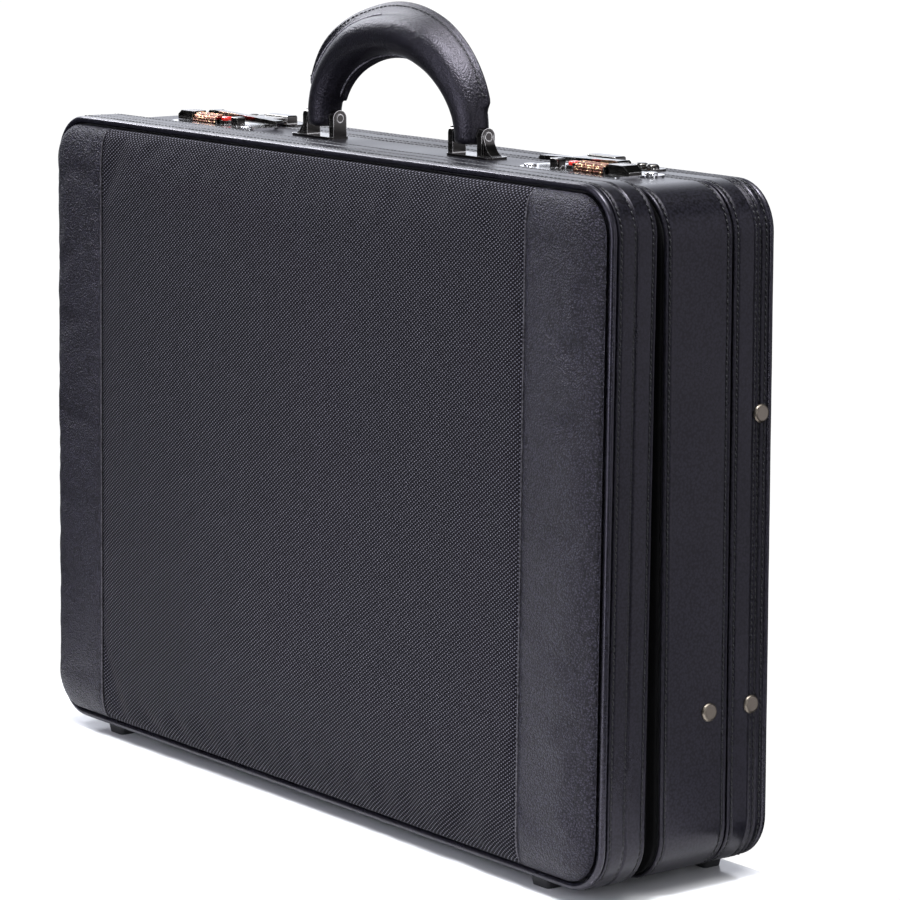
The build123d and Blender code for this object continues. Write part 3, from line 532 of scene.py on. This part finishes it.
# lighter edge colour: painted highlights on the dials' edges
brass = metal(
    "dial_brass",
    (0.1, 0.028, 0.018),
    0.2,
    painted_edge_colour=(0.3, 0.13, 0.06),
    edge_radius=0.35 * MM,
    flecks=(0.72, 0.52, 0.28),
)
red = plastic("red_button", (0.6, 0.02, 0.012), 0.25, 0.02, coat=0.6)
rubber = plastic("foot_rubber", (0.012, 0.012, 0.013), 0.6, 0.5)


def both(*names):
    """The left and the right node of each name."""
    return tuple(f"{name}_{hand}" for name in names for _, hand in hands)


carried = {
    board: ("base_frame", "tray_shell", "lid_shell"),
    trim: ("base_valance",),
    steel: ("hinge_leaf_base", "hinge_leaf_lid", "hinge_pin") + both("stay_base_link", "stay_lid_link"),
    shadow_ringed_rivet_metal: ("base_rivets", "lid_rivets"),
    gunmetal: ("handle_pins", "handle_eyes", "hasp_pins", "catch_screws")
    + both("handle_bracket", "lock_housing", "hasp", "thumb_slide", "lid_catch"),
    nickel: ("lock_screws", "dial_axles") + both("lock_plate"),
    red: both("reset_button"),
    rubber: ("tray_feet", "lid_feet"),
    brass: tuple(f"{dial}_{k}" for dial in both("dial") for k in (1, 2, 3)),
}
for material, names in carried.items():
    for name in names:
        nodes[name].data.materials.clear()
        nodes[name].data.materials.append(material)

# ---- padded flanks and woven panels -------------------------------------------------------------


def pillow(gap):
    """How far a pad has risen, from 0 to 1, at a distance from its outer edge."""
    steep = quarter_round(gap, 8.5 * MM)
    gentle = np.sin(np.clip(gap / (20 * MM), 0, 1) * math.pi / 2)
    return 0.72 * steep + 0.28 * gentle


def pad_mesh(name, level, half_h, u_from, u_to, reach, seam_height, at_corner):
    """A closed pad: a fine grid over its outline, raised by how far each point is from its edges.

    The pad spans u_from to u_to. A flank is at_corner, and ends in the case's round corners. The
    centre panel is not: its two sides lie under the flanks' folded edges.
    """
    top = half_h - pad_inset
    bend = corner - pad_inset
    wide = abs(u_to - u_from)
    edge = np.array([0, 0.3, 0.8, 1.6, 2.8, 4.4]) * MM
    inner = np.array([0, 0.25, 0.7, 1.4, 2.6, 4.2]) * MM
    edge_end, inner_end, column = 7.5 * MM, 7.0 * MM, 4.2 * MM
    v_mid = np.linspace(edge_end - top, top - edge_end, 76)
    v = np.concatenate([-top + edge, v_mid, (top - edge)[::-1]])
    middle = np.linspace(inner_end, wide - inner_end, round(wide / column))
    across = np.concatenate([inner, middle, (wide - edge)[::-1]]) / wide
    limit = width_at(v, wide, top, bend) if at_corner else np.full(len(v), wide)
    a = across[None, :] * limit[:, None]
    tall = np.broadcast_to(np.abs(v)[:, None], a.shape)
    if at_corner:
        in_corner = (tall > top - bend) & (a > wide - bend)
        round_gap = bend - np.hypot(tall - (top - bend), a - (wide - bend))
        gap = np.where(in_corner, round_gap, np.minimum(top - tall, wide - a))
        seam_gap = a
    else:
        gap = top - tall
        seam_gap = np.minimum(a, wide - a)
    rise_length, fold_length, fold_depth = 16 * MM, 0.7 * MM, 0.8 * MM
    rise = 1 - (1 - np.clip(seam_gap / rise_length, 0, 1)) ** 2
    level_height = seam_height + (reach - seam_height) * rise
    fold = fold_depth * (1 - quarter_round(seam_gap, fold_length))
    u = u_from + math.copysign(1, u_to - u_from) * a
    front = level.at(u, v[:, None], (level_height - fold) * pillow(gap))
    back = level.at(u, v[:, None], -pad_back)
    rows, cols = u.shape
    obj = new_object(name, np.stack([front, back]), two_sided_faces(rows, cols, u_to < u_from))
    held = obj.vertex_groups.new(name="held")
    near = np.minimum(gap, seam_gap).ravel()
    weight = np.clip(1 - near / (3 * MM), 0, 1)
    for k in np.nonzero(weight > 0)[0]:
        held.add([int(k)], float(weight[k]), "REPLACE")
    held.add(list(range(u.size, 2 * u.size)), 1.0, "REPLACE")
    return obj


def puff(objects, cap):
    """Blow the pads up a little as cloth over foam, and keep each point within cap of its start."""
    frames = 20
    start = {o.name: points_of(o) for o in objects}
    for o in objects:
        cloth = o.modifiers.new("cloth", "CLOTH")
        settings = cloth.settings
        settings.quality = 5
        settings.mass = 0.25
        settings.tension_stiffness = 12
        settings.compression_stiffness = 12
        settings.shear_stiffness = 4
        settings.bending_stiffness = 1.2
        settings.use_pressure = True
        settings.uniform_pressure_force = 4
        settings.effector_weights.gravity = 0
        settings.vertex_group_mass = "held"
        settings.shrink_min = -0.012
        cloth.collision_settings.use_collision = False
        cloth.point_cache.frame_end = frames
    for number in range(1, frames + 1):
        scene.frame_set(number)
    for o in objects:
        grown = o.evaluated_get(bpy.context.evaluated_depsgraph_get()).to_mesh()
        moved = np.array([v.co for v in grown.vertices]) - start[o.name]
        o.modifiers.clear()
        far = np.linalg.norm(moved, axis=1, keepdims=True) + 1e-9
        moved *= cap * np.tanh(far / cap) / far
        set_points(o, start[o.name] + moved)
    scene.frame_set(1)


def points_of(o):
    """A mesh's points as an array."""
    co = np.empty(len(o.data.vertices) * 3)
    o.data.vertices.foreach_get("co", co)
    return co.reshape(-1, 3)


def set_points(o, points):
    """Move a mesh's points."""
    o.data.vertices.foreach_set("co", points.ravel())
    o.data.update()


def subdivided(o):
    """One subdivision, applied."""
    smooth = o.modifiers.new("smooth", "SUBSURF")
    smooth.levels = 1
    smooth.render_levels = 1
    done = bpy.data.meshes.new_from_object(o.evaluated_get(bpy.context.evaluated_depsgraph_get()))
    o.modifiers.clear()
    o.data = done


flank_end = half_length - pad_inset
puff_cap = 1.1 * MM
# each reach leaves room for the cloth to rise into
flank_room = 0.7 * MM
panel_room = 0.9 * MM
flank_reach = {
    "tray": 7.5 * MM - flank_room,
    "lid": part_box("lid_flank_left")[1].y - lid_face - flank_room,
}
panel_reach = 6.9 * MM - panel_room
panel_seam = 6.0 * MM
seam_most = 7.0 * MM
panel_lap = 0.3 * MM
pads = []
for body, level, half_h in halves:
    reach = flank_reach[body]
    for side in (-1, 1):
        name = "right" if (side > 0) == (body == "tray") else "left"
        start, end = side * seam_u, side * flank_end
        flank = f"{body}_flank_{name}"
        pad = pad_mesh(flank, level, half_h, start, end, reach, min(reach, seam_most), True)
        pads.append((pad, body, "black_leather", flank_leather, flank))
    edge_u = seam_u + panel_lap
    panel = pad_mesh(f"{body}_panel", level, half_h, -edge_u, edge_u, panel_reach, panel_seam, False)
    pads.append((panel, body, "woven_nylon", nylon, f"{body}_panel"))
puff([p[0] for p in pads], puff_cap)
for obj, body, slot, material, node in pads:
    subdivided(obj)
    obj.name = f"{node}_pad"
    finish_piece(obj, body, material, (node,))

# ---- piping and side bands ----------------------------------------------------------------------


def piping(body, level, half_h):
    """Leather piping along a face's edge, a little uneven."""
    around = np.linspace(0, 2 * math.pi, 16, endpoint=False)
    ring = [(-piping_r + piping_r * math.cos(t), piping_r + piping_r * math.sin(t)) for t in around]
    verts, faces = sweep(level, half_h, ring, uneven=0.06 * MM, seed=3, step=3 * MM)
    piece(f"{body}_piping_cord", verts, faces, body, piping_leather, (f"{body}_piping",))


def ridge(depth, width, height):
    """A low ridge along a band, in millimetres, or a groove where its height is below 0."""
    return depth * MM, width * MM, height * MM


def dips(*rows):
    """A shallow groove for each row of stitches."""
    return [ridge(depth, 0.55, -0.42) for depth in rows]


def seam(depth):
    """Where one strip is lapped over the next: a sharp valley beside a small ridge."""
    return [ridge(depth, 0.4, -0.95), ridge(depth - 0.9, 0.5, 0.22)]


def band_profile(first, last, ridges):
    """Outer face of a side band from first to last depth, and back along its inner face."""
    crown, roll, roll_drop = 0.25 * MM, 0.9 * MM, 0.7 * MM
    inner, inner_gap = -1.38 * MM, 0.1 * MM
    edge = np.array([0, 0.15, 0.4, 0.8]) * MM
    middle = np.arange(first + 1.2 * MM, last - 1.0 * MM, 0.42 * MM)
    depth = np.concatenate([first + edge, middle, (last - edge)[::-1]])
    outset = crown * np.sin(math.pi * (depth - first) / (last - first)) ** 0.6
    outset -= roll_drop * (1 - quarter_round(np.minimum(depth - first, last - depth), roll))
    for centre, width, height in ridges:
        outset += height * np.exp(-(((depth - centre) / width) ** 2))
    return list(zip(outset, depth)) + [(inner, last - inner_gap), (inner, first + inner_gap)]


def side_band(body, level, half_h, first, last, extra, uneven, seed):
    """A leather side band with grooves under its stitches."""
    profile = band_profile(first, last, dips(*stitch_rows[body]) + extra)
    verts, faces = sweep(level, half_h, profile, uneven, seed)
    piece(f"{body}_side_band", verts, faces, body, side_leather, (f"{body}_band",))


band_start = 2 * piping_r + 0.1 * MM
stitch_rows = {"tray": (5.0, 12.6, 22.9), "lid": (5.0, 9.0, 11.0, 21.8), "base": (2.6, 36.4)}
tray_ridges = seam(13.6) + [ridge(24.4, 0.5, 0.12)]
lid_ridges = seam(8.3) + seam(12.0) + [ridge(10, 0.7, 0.2)]
base_ridges = [ridge(1.0, 0.6, 0.3), ridge(38.2, 0.4, 0.25), ridge(37.4, 0.25, -0.3), ridge(3.9, 0.4, 0.08)]

for body, level, half_h in halves:
    piping(body, level, half_h)
side_band("tray", tray, tray_half, band_start, tray_depth, tray_ridges, 0.10 * MM, 5)
side_band("lid", lid, base_half, band_start, lid_depth, lid_ridges, 0.10 * MM, 9)
side_band("base", base, base_half, 0.0, base_depth, base_ridges, 0.12 * MM, 13)
for body, level, half_h in (*halves, ("base", base, base_half)):
    runs = [outline_run(level, half_h, 0.02 * MM, depth * MM) for depth in stitch_rows[body]]
    stitches(f"{body}_band_stitches", runs, body)

# ---- gusset -------------------------------------------------------------------------------------

# the tray's rim, which leans away from the base towards the bottom
rim_bottom = -24.2 * MM
rim_top = -19.2 * MM
tuck = 10 * MM
# (outset in millimetres, share of the gap) from the base to the tray; past 0 and 1 the cloth is
# tucked into them, where a share of 1 is one tuck
fold_shape = np.array(
    [(-6.6, -0.9), (-6.5, -0.3), (-6.0, -0.02), (-2.2, 0.10), (-1.3, 0.18), (-1.6, 0.27), (-4.6, 0.38)]
    + [(-6.0, 0.47), (-5.2, 0.56), (-3.2, 0.66), (-3.6, 0.76), (-6.0, 0.88), (-6.6, 1.02), (-6.7, 1.9)]
)


def gusset_mesh():
    """Cloth ring folded into the gap between base and tray, and its flat width and length."""
    thickness = 0.5 * MM
    points, normals = rounded(half_length, base_half, corner, 4 * MM)
    knots = np.linspace(0, 1, len(fold_shape))
    fine = np.linspace(0, 1, 53)
    outset = np.interp(fine, knots, fold_shape[:, 0]) * MM
    share = np.interp(fine, knots, fold_shape[:, 1])
    tall = (points[:, 1] + base_mid - base_lo.z) / (base_hi.z - base_lo.z)
    rim = (rim_bottom + (rim_top - rim_bottom) * tall)[:, None]
    in_base = base_lo.y - share * tuck
    in_gap = base_lo.y - share * (base_lo.y - rim)
    in_tray = rim - (share - 1) * tuck
    inside = (share >= 0) & (share <= 1)
    y = np.where(inside, in_gap, np.where(share > 1, in_tray, in_base))
    crumple = ripple(len(points), 21, 0.5 * MM, 31)[:, None] * np.sin(fine * math.pi * 3) ** 2

    def layer(push):
        """One side of the cloth."""
        x = points[:, 0:1] + normals[:, 0:1] * push
        z = points[:, 1:2] + normals[:, 1:2] * push + base_mid
        return np.stack([x, y, z], -1)

    outer = layer(outset + crumple * inside)
    inner = layer(outset + crumple * inside - thickness)
    loop = np.concatenate([outer, inner[:, ::-1]], 1)
    across = np.linalg.norm(np.diff(outer, axis=1), axis=2).sum(1).mean()
    middle = outer.mean(1)
    around = np.linalg.norm(middle - np.roll(middle, 1, 0), axis=1).sum()
    return loop, grid_faces(len(points), loop.shape[1], True, True), (across, around)


verts, faces, gusset_cut = gusset_mesh()
# the near-black cloth is painted shade for the gap between base and tray
gusset = piece("gusset_folds", verts, faces, None, gusset_cloth, ("gusset",))
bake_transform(gusset)

# ---- handle -------------------------------------------------------------------------------------

grip_lo, grip_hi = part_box("handle_grip")
handle_y = (grip_lo.y + grip_hi.y) / 2
pivot_x = 59 * MM
pivot_lift = 4.4 * MM
pivot_z = grip_lo.z + pivot_lift
crown_radius = 12 * MM
handle_rise = grip_hi.z - pivot_z - crown_radius

# the section at the crown, as (outward, backward) millimetres from the centre line; its first and
# last points are the stitched flange
crown_section = np.array(
    [(13.8, 4.9), (12.6, 3.3), (11.0, 1.7), (9.4, 0.1), (8.0, -1.4), (7.5, -2.9), (7.2, -5.0), (5.6, -7.8)]
    + [(2.6, -10.0), (-1.4, -10.9), (-5.4, -10.2), (-8.6, -8.0), (-10.8, -4.8), (-11.5, -1.8), (-11.7, 0.2)]
    + [(-12.6, 2.2), (-13.4, 4.0), (-13.2, 5.2), (-11.4, 6.6), (-7.0, 8.6), (-1.0, 9.6)]
    + [(5.0, 9.0), (9.4, 7.7), (12.8, 6.3)]
)
smooth_section = crown_section.copy()
smooth_section[2:8] = [(11.9, 1.0), (11.0, -0.9), (10.2, -2.7), (9.3, -4.6), (8.0, -6.6), (5.9, -8.7)]
left_section = crown_section.copy()
left_section[:12] = (
    [(16.6, 0.0), (15.8, -1.7), (13.6, -2.2), (11.4, -2.4), (9.9, -3.0), (8.6, -4.2)]
    + [(6.6, -6.2), (3.6, -8.2), (0.2, -9.3), (-3.2, -9.3), (-6.6, -8.4), (-9.2, -6.6)]
)
left_section[22:] = [(10.0, 6.6), (14.4, 3.6)]
spot = np.arange(len(crown_section))
flange = np.clip(np.maximum(3.5 - spot, spot - 14.5) / 2, 0, 1)
grip_angles = np.concatenate([np.linspace(0, 14, 12), np.linspace(15, 165, 90), np.linspace(166, 180, 12)])


def closed_curve(points, count):
    """A smooth closed curve through points, by Catmull-Rom pieces."""
    n = len(points)
    s = np.linspace(0, n, count, endpoint=False)
    k = s.astype(int)
    t = (s - k)[:, None]
    p0, p1, p2, p3 = (points[(k + j) % n] for j in (-1, 0, 1, 2))
    square = 2 * p0 - 5 * p1 + 4 * p2 - p3
    cube = 3 * p1 - p0 - 3 * p2 + p3
    return 0.5 * (2 * p1 + (p2 - p0) * t + square * t**2 + cube * t**3)


def eased(t):
    """0 to 1, with a soft start and end."""
    t = np.clip(t, 0, 1)
    return t * t * (3 - 2 * t)


def grip_section(angle):
    """The handle's section at an angle round the arch, in millimetres."""
    low = min(angle, 180 - angle)
    share = (flange * eased((low - 11) / 5) + (1 - flange) * eased((low - 2) / 45))[:, None]
    creased = eased((angle - 65) / 35)
    turned = eased((angle - 105) / 45)
    radius = np.interp(low, [0, 12, 30, 60, 90], [8.2, 8.6, 9.6, 11.0, 11.4])
    size = np.interp(low, [10, 30, 60, 90], [0.82, 0.88, 0.98, 1.0])
    n = len(crown_section)
    start = math.atan2(crown_section[0, 1], crown_section[0, 0])
    around = start - np.arange(n) / n * 2 * math.pi
    circle = radius * np.stack([np.cos(around), np.sin(around)], -1)
    crown = creased * crown_section + (1 - creased) * smooth_section
    crown = (1 - turned) * crown + turned * left_section
    return closed_curve((1 - share) * circle + share * size * crown, 96)


def on_arch(angle, outward, backward):
    """Row-frame points of (outward, backward) offsets at an angle round the arch."""
    t = math.radians(angle)
    normal = np.array([handle_rise * math.cos(t), pivot_x * math.sin(t)])
    normal /= np.linalg.norm(normal)
    x = pivot_x * math.cos(t) + outward * normal[0]
    z = pivot_z + handle_rise * math.sin(t) + outward * normal[1]
    return np.stack([x, handle_y + backward, z], -1)


def end_rings(ring):
    """Rings that close an end of the grip as a soft dome."""
    # (share of the dome's depth, share of the end's size)
    dome = ((0.25, 1.0), (0.55, 0.985), (0.8, 0.93), (0.94, 0.8), (1.0, 0.55), (1.02, 0.2))
    depth = 4.3 * MM
    middle = ring.mean(0)
    return [middle + (ring - middle) * size + np.array([0, 0, -depth * drop]) for drop, size in dome]


rings = []
for angle in grip_angles:
    section = grip_section(angle) * MM
    rings.append(on_arch(angle, section[:, 0], section[:, 1]))
rings = np.array(end_rings(rings[0])[::-1] + rings + end_rings(rings[-1]))
faces = tube_faces(*rings.shape[:2])
grip_nodes = ("handle_grip", "handle_welt")
grip = piece("handle_roll", rings, faces, "handle", handle_leather, grip_nodes)


def on_grip(angle, index, lift):
    """A place on the handle's surface, and its outward direction."""
    section = grip_section(angle)
    k = int(index * len(section) / len(crown_section)) % len(section)
    before, here, after = section[k - 2], section[k], section[(k + 2) % len(section)]
    normal = np.array([after[1] - before[1], before[0] - after[0]])
    normal /= np.linalg.norm(normal)
    if normal @ (here - section.mean(0)) < 0:
        normal = -normal
    at = on_arch(angle, *(here + normal * lift) * MM)
    above = on_arch(angle, *(here + normal * (lift + 1)) * MM)
    return at, (above - at) / MM


def handle_run(places, lift):
    """A run along (angle, index) places of the handle's surface."""
    points = [on_grip(angle, index, lift) for angle, index in places]
    return np.array([p[0] for p in points]), np.array([p[1] for p in points]), False


def grip_line(index, first, last):
    """Places along the arch at one index of its section, from first to last angle."""
    return [(angle, index) for angle in np.linspace(first, last, 120)]


edge_rows = [handle_run(grip_line(index, 17, 163), 0.1) for index in (1.5, 15.2)]
tack = [handle_run([(a, k) for k in np.linspace(0.9, 2.6, 12)], 0.2) for a in (18.5, 161.5)]
stitches("handle_stitches", edge_rows, "handle", 3.2 * MM, 2.6 * MM, 0.4 * MM)
stitches("handle_tack_stitches", tack, "handle", 1.6 * MM, 1.5 * MM, 0.45 * MM)


def cord_mesh(name, run, radius, body, material):
    """A thin round edge along a run, tapered at both ends."""
    sides, taper_rings = 8, 4
    points, ups, _ = run
    ahead = np.gradient(points, axis=0)
    ahead /= np.linalg.norm(ahead, axis=1, keepdims=True)
    side = np.cross(ahead, ups)
    around = np.linspace(0, 2 * math.pi, sides, endpoint=False)
    count = np.arange(len(points))
    taper = np.sqrt(np.clip(np.minimum(count, count[::-1]) / taper_rings, 0.15, 1))
    ring = points[:, None] + radius * taper[:, None, None] * (
        np.cos(around)[None, :, None] * ups[:, None] + np.sin(around)[None, :, None] * side[:, None]
    )
    piece(name, ring, tube_faces(len(points), sides), body, material)


# the handle's seams as thin cords of pale leather: a painted highlight along each seam
front_seam = handle_run(grip_line(4.4, 98, 162), 0.25)
inner_seam = handle_run(grip_line(14.0, 17, 162), 0.15)
cord_mesh("handle_front_seam", front_seam, 0.5 * MM, "handle", highlit_seam_leather)
cord_mesh("handle_inner_seam", inner_seam, 0.45 * MM, "handle", highlit_seam_leather)

# the flanks' folded edges, just proud of the seams beside the centre panels, in a leather lighter than the
# flanks: a painted highlight along each fold
fold_start, fold_end, fold_mid = 0.8 * MM, 8 * MM, 10 * MM
fold_sink, fold_back = 0.05 * MM, 0.1 * MM
for body, level, half_h in halves:
    top = half_h - pad_inset - fold_start
    near = np.linspace(0, fold_end, 12)
    v = np.concatenate([near - top, np.linspace(fold_mid - top, top - fold_mid, 90), (top - near)[::-1]])
    height = (min(flank_reach[body], seam_most) - fold_sink) * pillow(half_h - pad_inset - np.abs(v))
    for side, name in hands:
        at = level.at(side * (seam_u - fold_back), v, height)
        run = (at, np.broadcast_to(level.out, at.shape), False)
        cord_mesh(f"{body}_{name}_seam_fold", run, 0.5 * MM, body, highlit_fold_leather)

# ---- inside: linings and organiser --------------------------------------------------------------


lining_inset = 5.1 * MM
wall_start, wall_thick = 7.9 * MM, 0.65 * MM
lid_lining_rim_y = 32.5 * MM
wall_end = {"tray": tray_depth - 1.0 * MM, "lid": lid_face - lid_lining_rim_y}


def lining_floor(body, level, half_h):
    """Lining cloth stretched over a half's floor, its flat size and its area."""
    depth, thick, sag = 7.15 * MM, 0.7 * MM, 0.12 * MM
    half_w, half_v, radius = half_length - lining_inset, half_h - lining_inset, corner - lining_inset
    v = np.linspace(-half_v, half_v, 60)[:, None]
    u = np.linspace(-1, 1, 80) * width_at(v, half_w, half_v, radius)
    low = -depth - sag * (1 + np.sin(u * 61 + 1.3 * np.sin(v * 47)) * np.sin(v * 53 + 0.7))
    layers = np.stack([level.at(u, v, low - thick), level.at(u, v, low)])
    faces = two_sided_faces(*u.shape, True)
    stand_for = (f"{body}_lining",)
    obj = piece(f"{body}_lining_floor", layers, faces, body, lining_cloth, stand_for)
    return obj, (2 * half_w, 2 * half_v), 4 * half_w * half_v - (4 - math.pi) * radius**2


for body, level, half_h in halves:
    floor_cloth, cut, cut_area = lining_floor(body, level, half_h)
    down = np.linspace(wall_start, wall_end[body], 8)
    wall = [(-lining_inset, d) for d in down] + [(-lining_inset - wall_thick, d) for d in down[::-1]]
    verts, faces = sweep(level, half_h, wall)
    strip = piece(f"{body}_lining_wall", verts, faces, body, lining_cloth)


def organiser_piece(name, verts, faces, stand_for, sharp):
    """A leather piece of the organiser in the lid."""
    return piece(name, verts, faces, "lid", organiser_leather, stand_for, sharp)


def slab(name, lo, hi, puffy, stand_for=(), pad=None):
    """A soft-edged leather panel that fills a box in the lid."""
    points, normals = rounded((hi.x - lo.x) / 2, (hi.z - lo.z) / 2, 10 * MM, 6 * MM, 8)
    middle = np.array([(lo.x + hi.x) / 2, (lo.z + hi.z) / 2])
    loops = []
    # (inset in millimetres, share of the thickness) from the back edge to the face
    for inset, share in ((0.0, 0.0), (0.0, 0.35), (0.5, 0.7), (1.6, 0.92), (4.0, 1.0)):
        flat = middle + points - normals * inset * MM
        y = np.full(len(flat), hi.y - (hi.y - lo.y) * share)
        loops.append(np.stack([flat[:, 0], y, flat[:, 1]], -1))
    rim = loops[-1]
    centre = rim.mean(0)
    for size in (0.94, 0.8, 0.6, 0.35, 0.12):
        loops.append(centre + (rim - centre) * size + np.array([0, -puffy * (1 - size * size), 0]))
    obj = organiser_piece(name, loops, tube_faces(len(loops), len(points), flip=True), stand_for, 50)


slab("organiser_back", *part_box("organiser_panel"), 0.0, ("organiser_panel",))
pocket_lo, pocket_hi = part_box("organiser_pockets")
file_top, card_bottom = pocket_lo.z + 130 * MM, pocket_lo.z + 154 * MM
card_x, card_half, card_sink = 112 * MM, 62 * MM, 1.0 * MM
file_hi = Vector((pocket_hi.x, pocket_hi.y, file_top))
slab("organiser_file_pocket", pocket_lo, file_hi, 0.6 * MM, ("organiser_pockets",), pad=0.3)
for side, name in hands:
    lo = Vector((side * card_x - card_half, pocket_lo.y + card_sink, card_bottom))
    hi = Vector((side * card_x + card_half, pocket_hi.y, pocket_hi.z))
    slab(f"organiser_card_pocket_{name}", lo, hi, 0.4 * MM, pad=0.3)


def pen_loops(lo, hi):
    """Elastic pen loops: a row of low arches of webbing."""
    loops, pitch, steps = 3, 22 * MM, 17
    verts, faces = [], []
    swing = np.linspace(0, math.pi, steps)
    for place in range(loops):
        x = (place - (loops - 1) / 2) * pitch
        for radius_x, radius_y in ((8 * MM, 6 * MM), (7.2 * MM, 5.2 * MM)):
            for z in (lo.z, hi.z):
                arch = [x + radius_x * np.cos(swing), hi.y - radius_y * np.sin(swing), np.full(steps, z)]
                verts.append(np.stack(arch, -1))
        first = place * 4 * steps
        for j in range(steps):
            # outer edge low and high, inner edge low and high
            a, b, c, d = (first + edge * steps + j for edge in range(4))
            if j == 0:
                faces.append([a, b, d, c])
            if j == steps - 1:
                faces.append([a, c, d, b])
            else:
                faces += [[a, a + 1, b + 1, b], [c, d, d + 1, c + 1]]
                faces += [[a, c, c + 1, a + 1], [b, b + 1, d + 1, d]]
    organiser_piece("organiser_pen_loops", np.array(verts), faces, ("pen_loops",), 40)


pen_loops(*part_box("pen_loops"))

# ---- floor, light and camera --------------------------------------------------------------------


paper = Nodes("studio_floor", Roughness=0.12, Specular_IOR_Level=0.4)
tint = paper.mix(paper.noise(3, 2), (0.93, 0.93, 0.935, 1), (0.95, 0.95, 0.955, 1))
paper.link(tint, paper.shader.inputs["Base Color"])
# the floor stops under the back of the case, where the lid swings down
left, right, front, back = -0.3, 0.42, -0.38, 0.05
outline = [(left, front, 0), (right, front, 0), (right, back, 0), (left, back, 0)]
floor = new_object("studio_floor", outline, [[0, 1, 2, 3]])
floor.data.materials.append(paper.material)

wall_direction = (-0.77, 0.59, 0.24)
wall_edge, room_light, wall_light = 0.8, 0.05, 1.55
room_tint = (0.88, 0.91, 1.0, 1)
backdrop_light = 1.05


def studio_world():
    """White backdrop; a dim room all round, with one bright wall behind the case."""
    world = bpy.data.worlds.new("studio")
    world.use_nodes = True
    tree = world.node_tree
    room = tree.nodes["Background"]
    facing = tree.nodes.new("ShaderNodeTexCoord").outputs["Generated"]
    dot = tree.nodes.new("ShaderNodeVectorMath")
    dot.operation = "DOT_PRODUCT"
    tree.links.new(facing, dot.inputs[0])
    dot.inputs[1].default_value = wall_direction
    ramp = tree.nodes.new("ShaderNodeMapRange")
    ramp.interpolation_type = "SMOOTHSTEP"
    for socket, value in zip(ramp.inputs, (0, wall_edge, 1.0, room_light, wall_light)):
        socket.default_value = value
    tree.links.new(dot.outputs["Value"], ramp.inputs[0])
    tree.links.new(ramp.outputs[0], room.inputs["Strength"])
    room.inputs["Color"].default_value = room_tint
    white = tree.nodes.new("ShaderNodeBackground")
    white.inputs["Strength"].default_value = backdrop_light
    white.inputs["Color"].default_value = (1, 1, 1, 1)
    pick = tree.nodes.new("ShaderNodeMixShader")
    tree.links.new(tree.nodes.new("ShaderNodeLightPath").outputs["Is Camera Ray"], pick.inputs[0])
    tree.links.new(room.outputs[0], pick.inputs[1])
    tree.links.new(white.outputs[0], pick.inputs[2])
    tree.links.new(pick.outputs[0], tree.nodes["World Output"].inputs["Surface"])
    scene.world = world


studio_world()


def softbox(name, place, aim, size, watts, tint):
    """A rectangular light at a place, turned to an aim."""
    data = bpy.data.lights.new(name, "AREA")
    data.shape = "RECTANGLE"
    data.size, data.size_y = size
    data.energy = watts
    data.color = tint
    obj = bpy.data.objects.new(name, data)
    obj.location = place
    obj.rotation_mode = "QUATERNION"
    obj.rotation_quaternion = (Vector(aim) - Vector(place)).to_track_quat("-Z", "Y")
    scene.collection.objects.link(obj)


overhead_data = bpy.data.lights.new("overhead", "SUN")
overhead_data.angle = math.radians(52)
overhead_data.energy = 3.5
overhead_data.color = (0.97, 0.98, 1.0)
overhead = bpy.data.objects.new("overhead", overhead_data)
overhead.rotation_mode = "QUATERNION"
overhead.rotation_quaternion = Vector((0.12, 0.02, 1)).to_track_quat("Z", "Y")
scene.collection.objects.link(overhead)
daylight = (0.93, 0.95, 1.0)
softbox("front_left", (-0.22, -0.7, 0.4), (0.3, 0, 0.15), (0.2, 0.9), 1.3, (0.84, 0.85, 1.0))
softbox("front_right", (1.4, -1.6, 1.2), (0.1, 0, 0.15), (0.8, 0.8), 4, (0.9, 0.92, 1.0))
softbox("side_wall", (1.35, 0.95, 0.35), (0.2, 0, 0.15), (1.3, 1.7), 7.2, (0.9, 0.9, 1.0))
softbox("front_low", (0.08, -1.0, 0.25), (0.25, 0, 0.15), (0.14, 0.9), 5.0, (0.86, 0.87, 1.0))
softbox("edge_strip", (1.75, -0.42, 0.45), (0.2, 0, 0.16), (0.09, 1.1), 5, daylight)
softbox("edge_high", (-1.3, 0.25, 1.2), (0, 0, 0.3), (0.8, 0.8), 9, daylight)
softbox("edge_left", (-1.35, -0.32, 1.25), (0, 0, 0.3), (0.3, 0.4), 13, daylight)
softbox("handle_top", (0.3, -0.35, 1.5), (0, 0, 0.35), (0.25, 0.25), 24, daylight)

camera_data = bpy.data.cameras.new("camera")
camera_data.lens = 154.6
camera_data.sensor_width = 36
camera = bpy.data.objects.new("camera", camera_data)
scene.collection.objects.link(camera)
camera.location = (1.491, -1.1085, 0.5032)
azimuth, elevation = math.radians(52.40), math.radians(10.14)
level_reach = math.cos(elevation)
look_back = Vector((math.sin(azimuth) * level_reach, -math.cos(azimuth) * level_reach, math.sin(elevation)))
camera.rotation_mode = "QUATERNION"
camera.rotation_quaternion = (-look_back).to_track_quat("-Z", "Y")
scene.camera = camera
scene.view_settings.view_transform = "Standard"
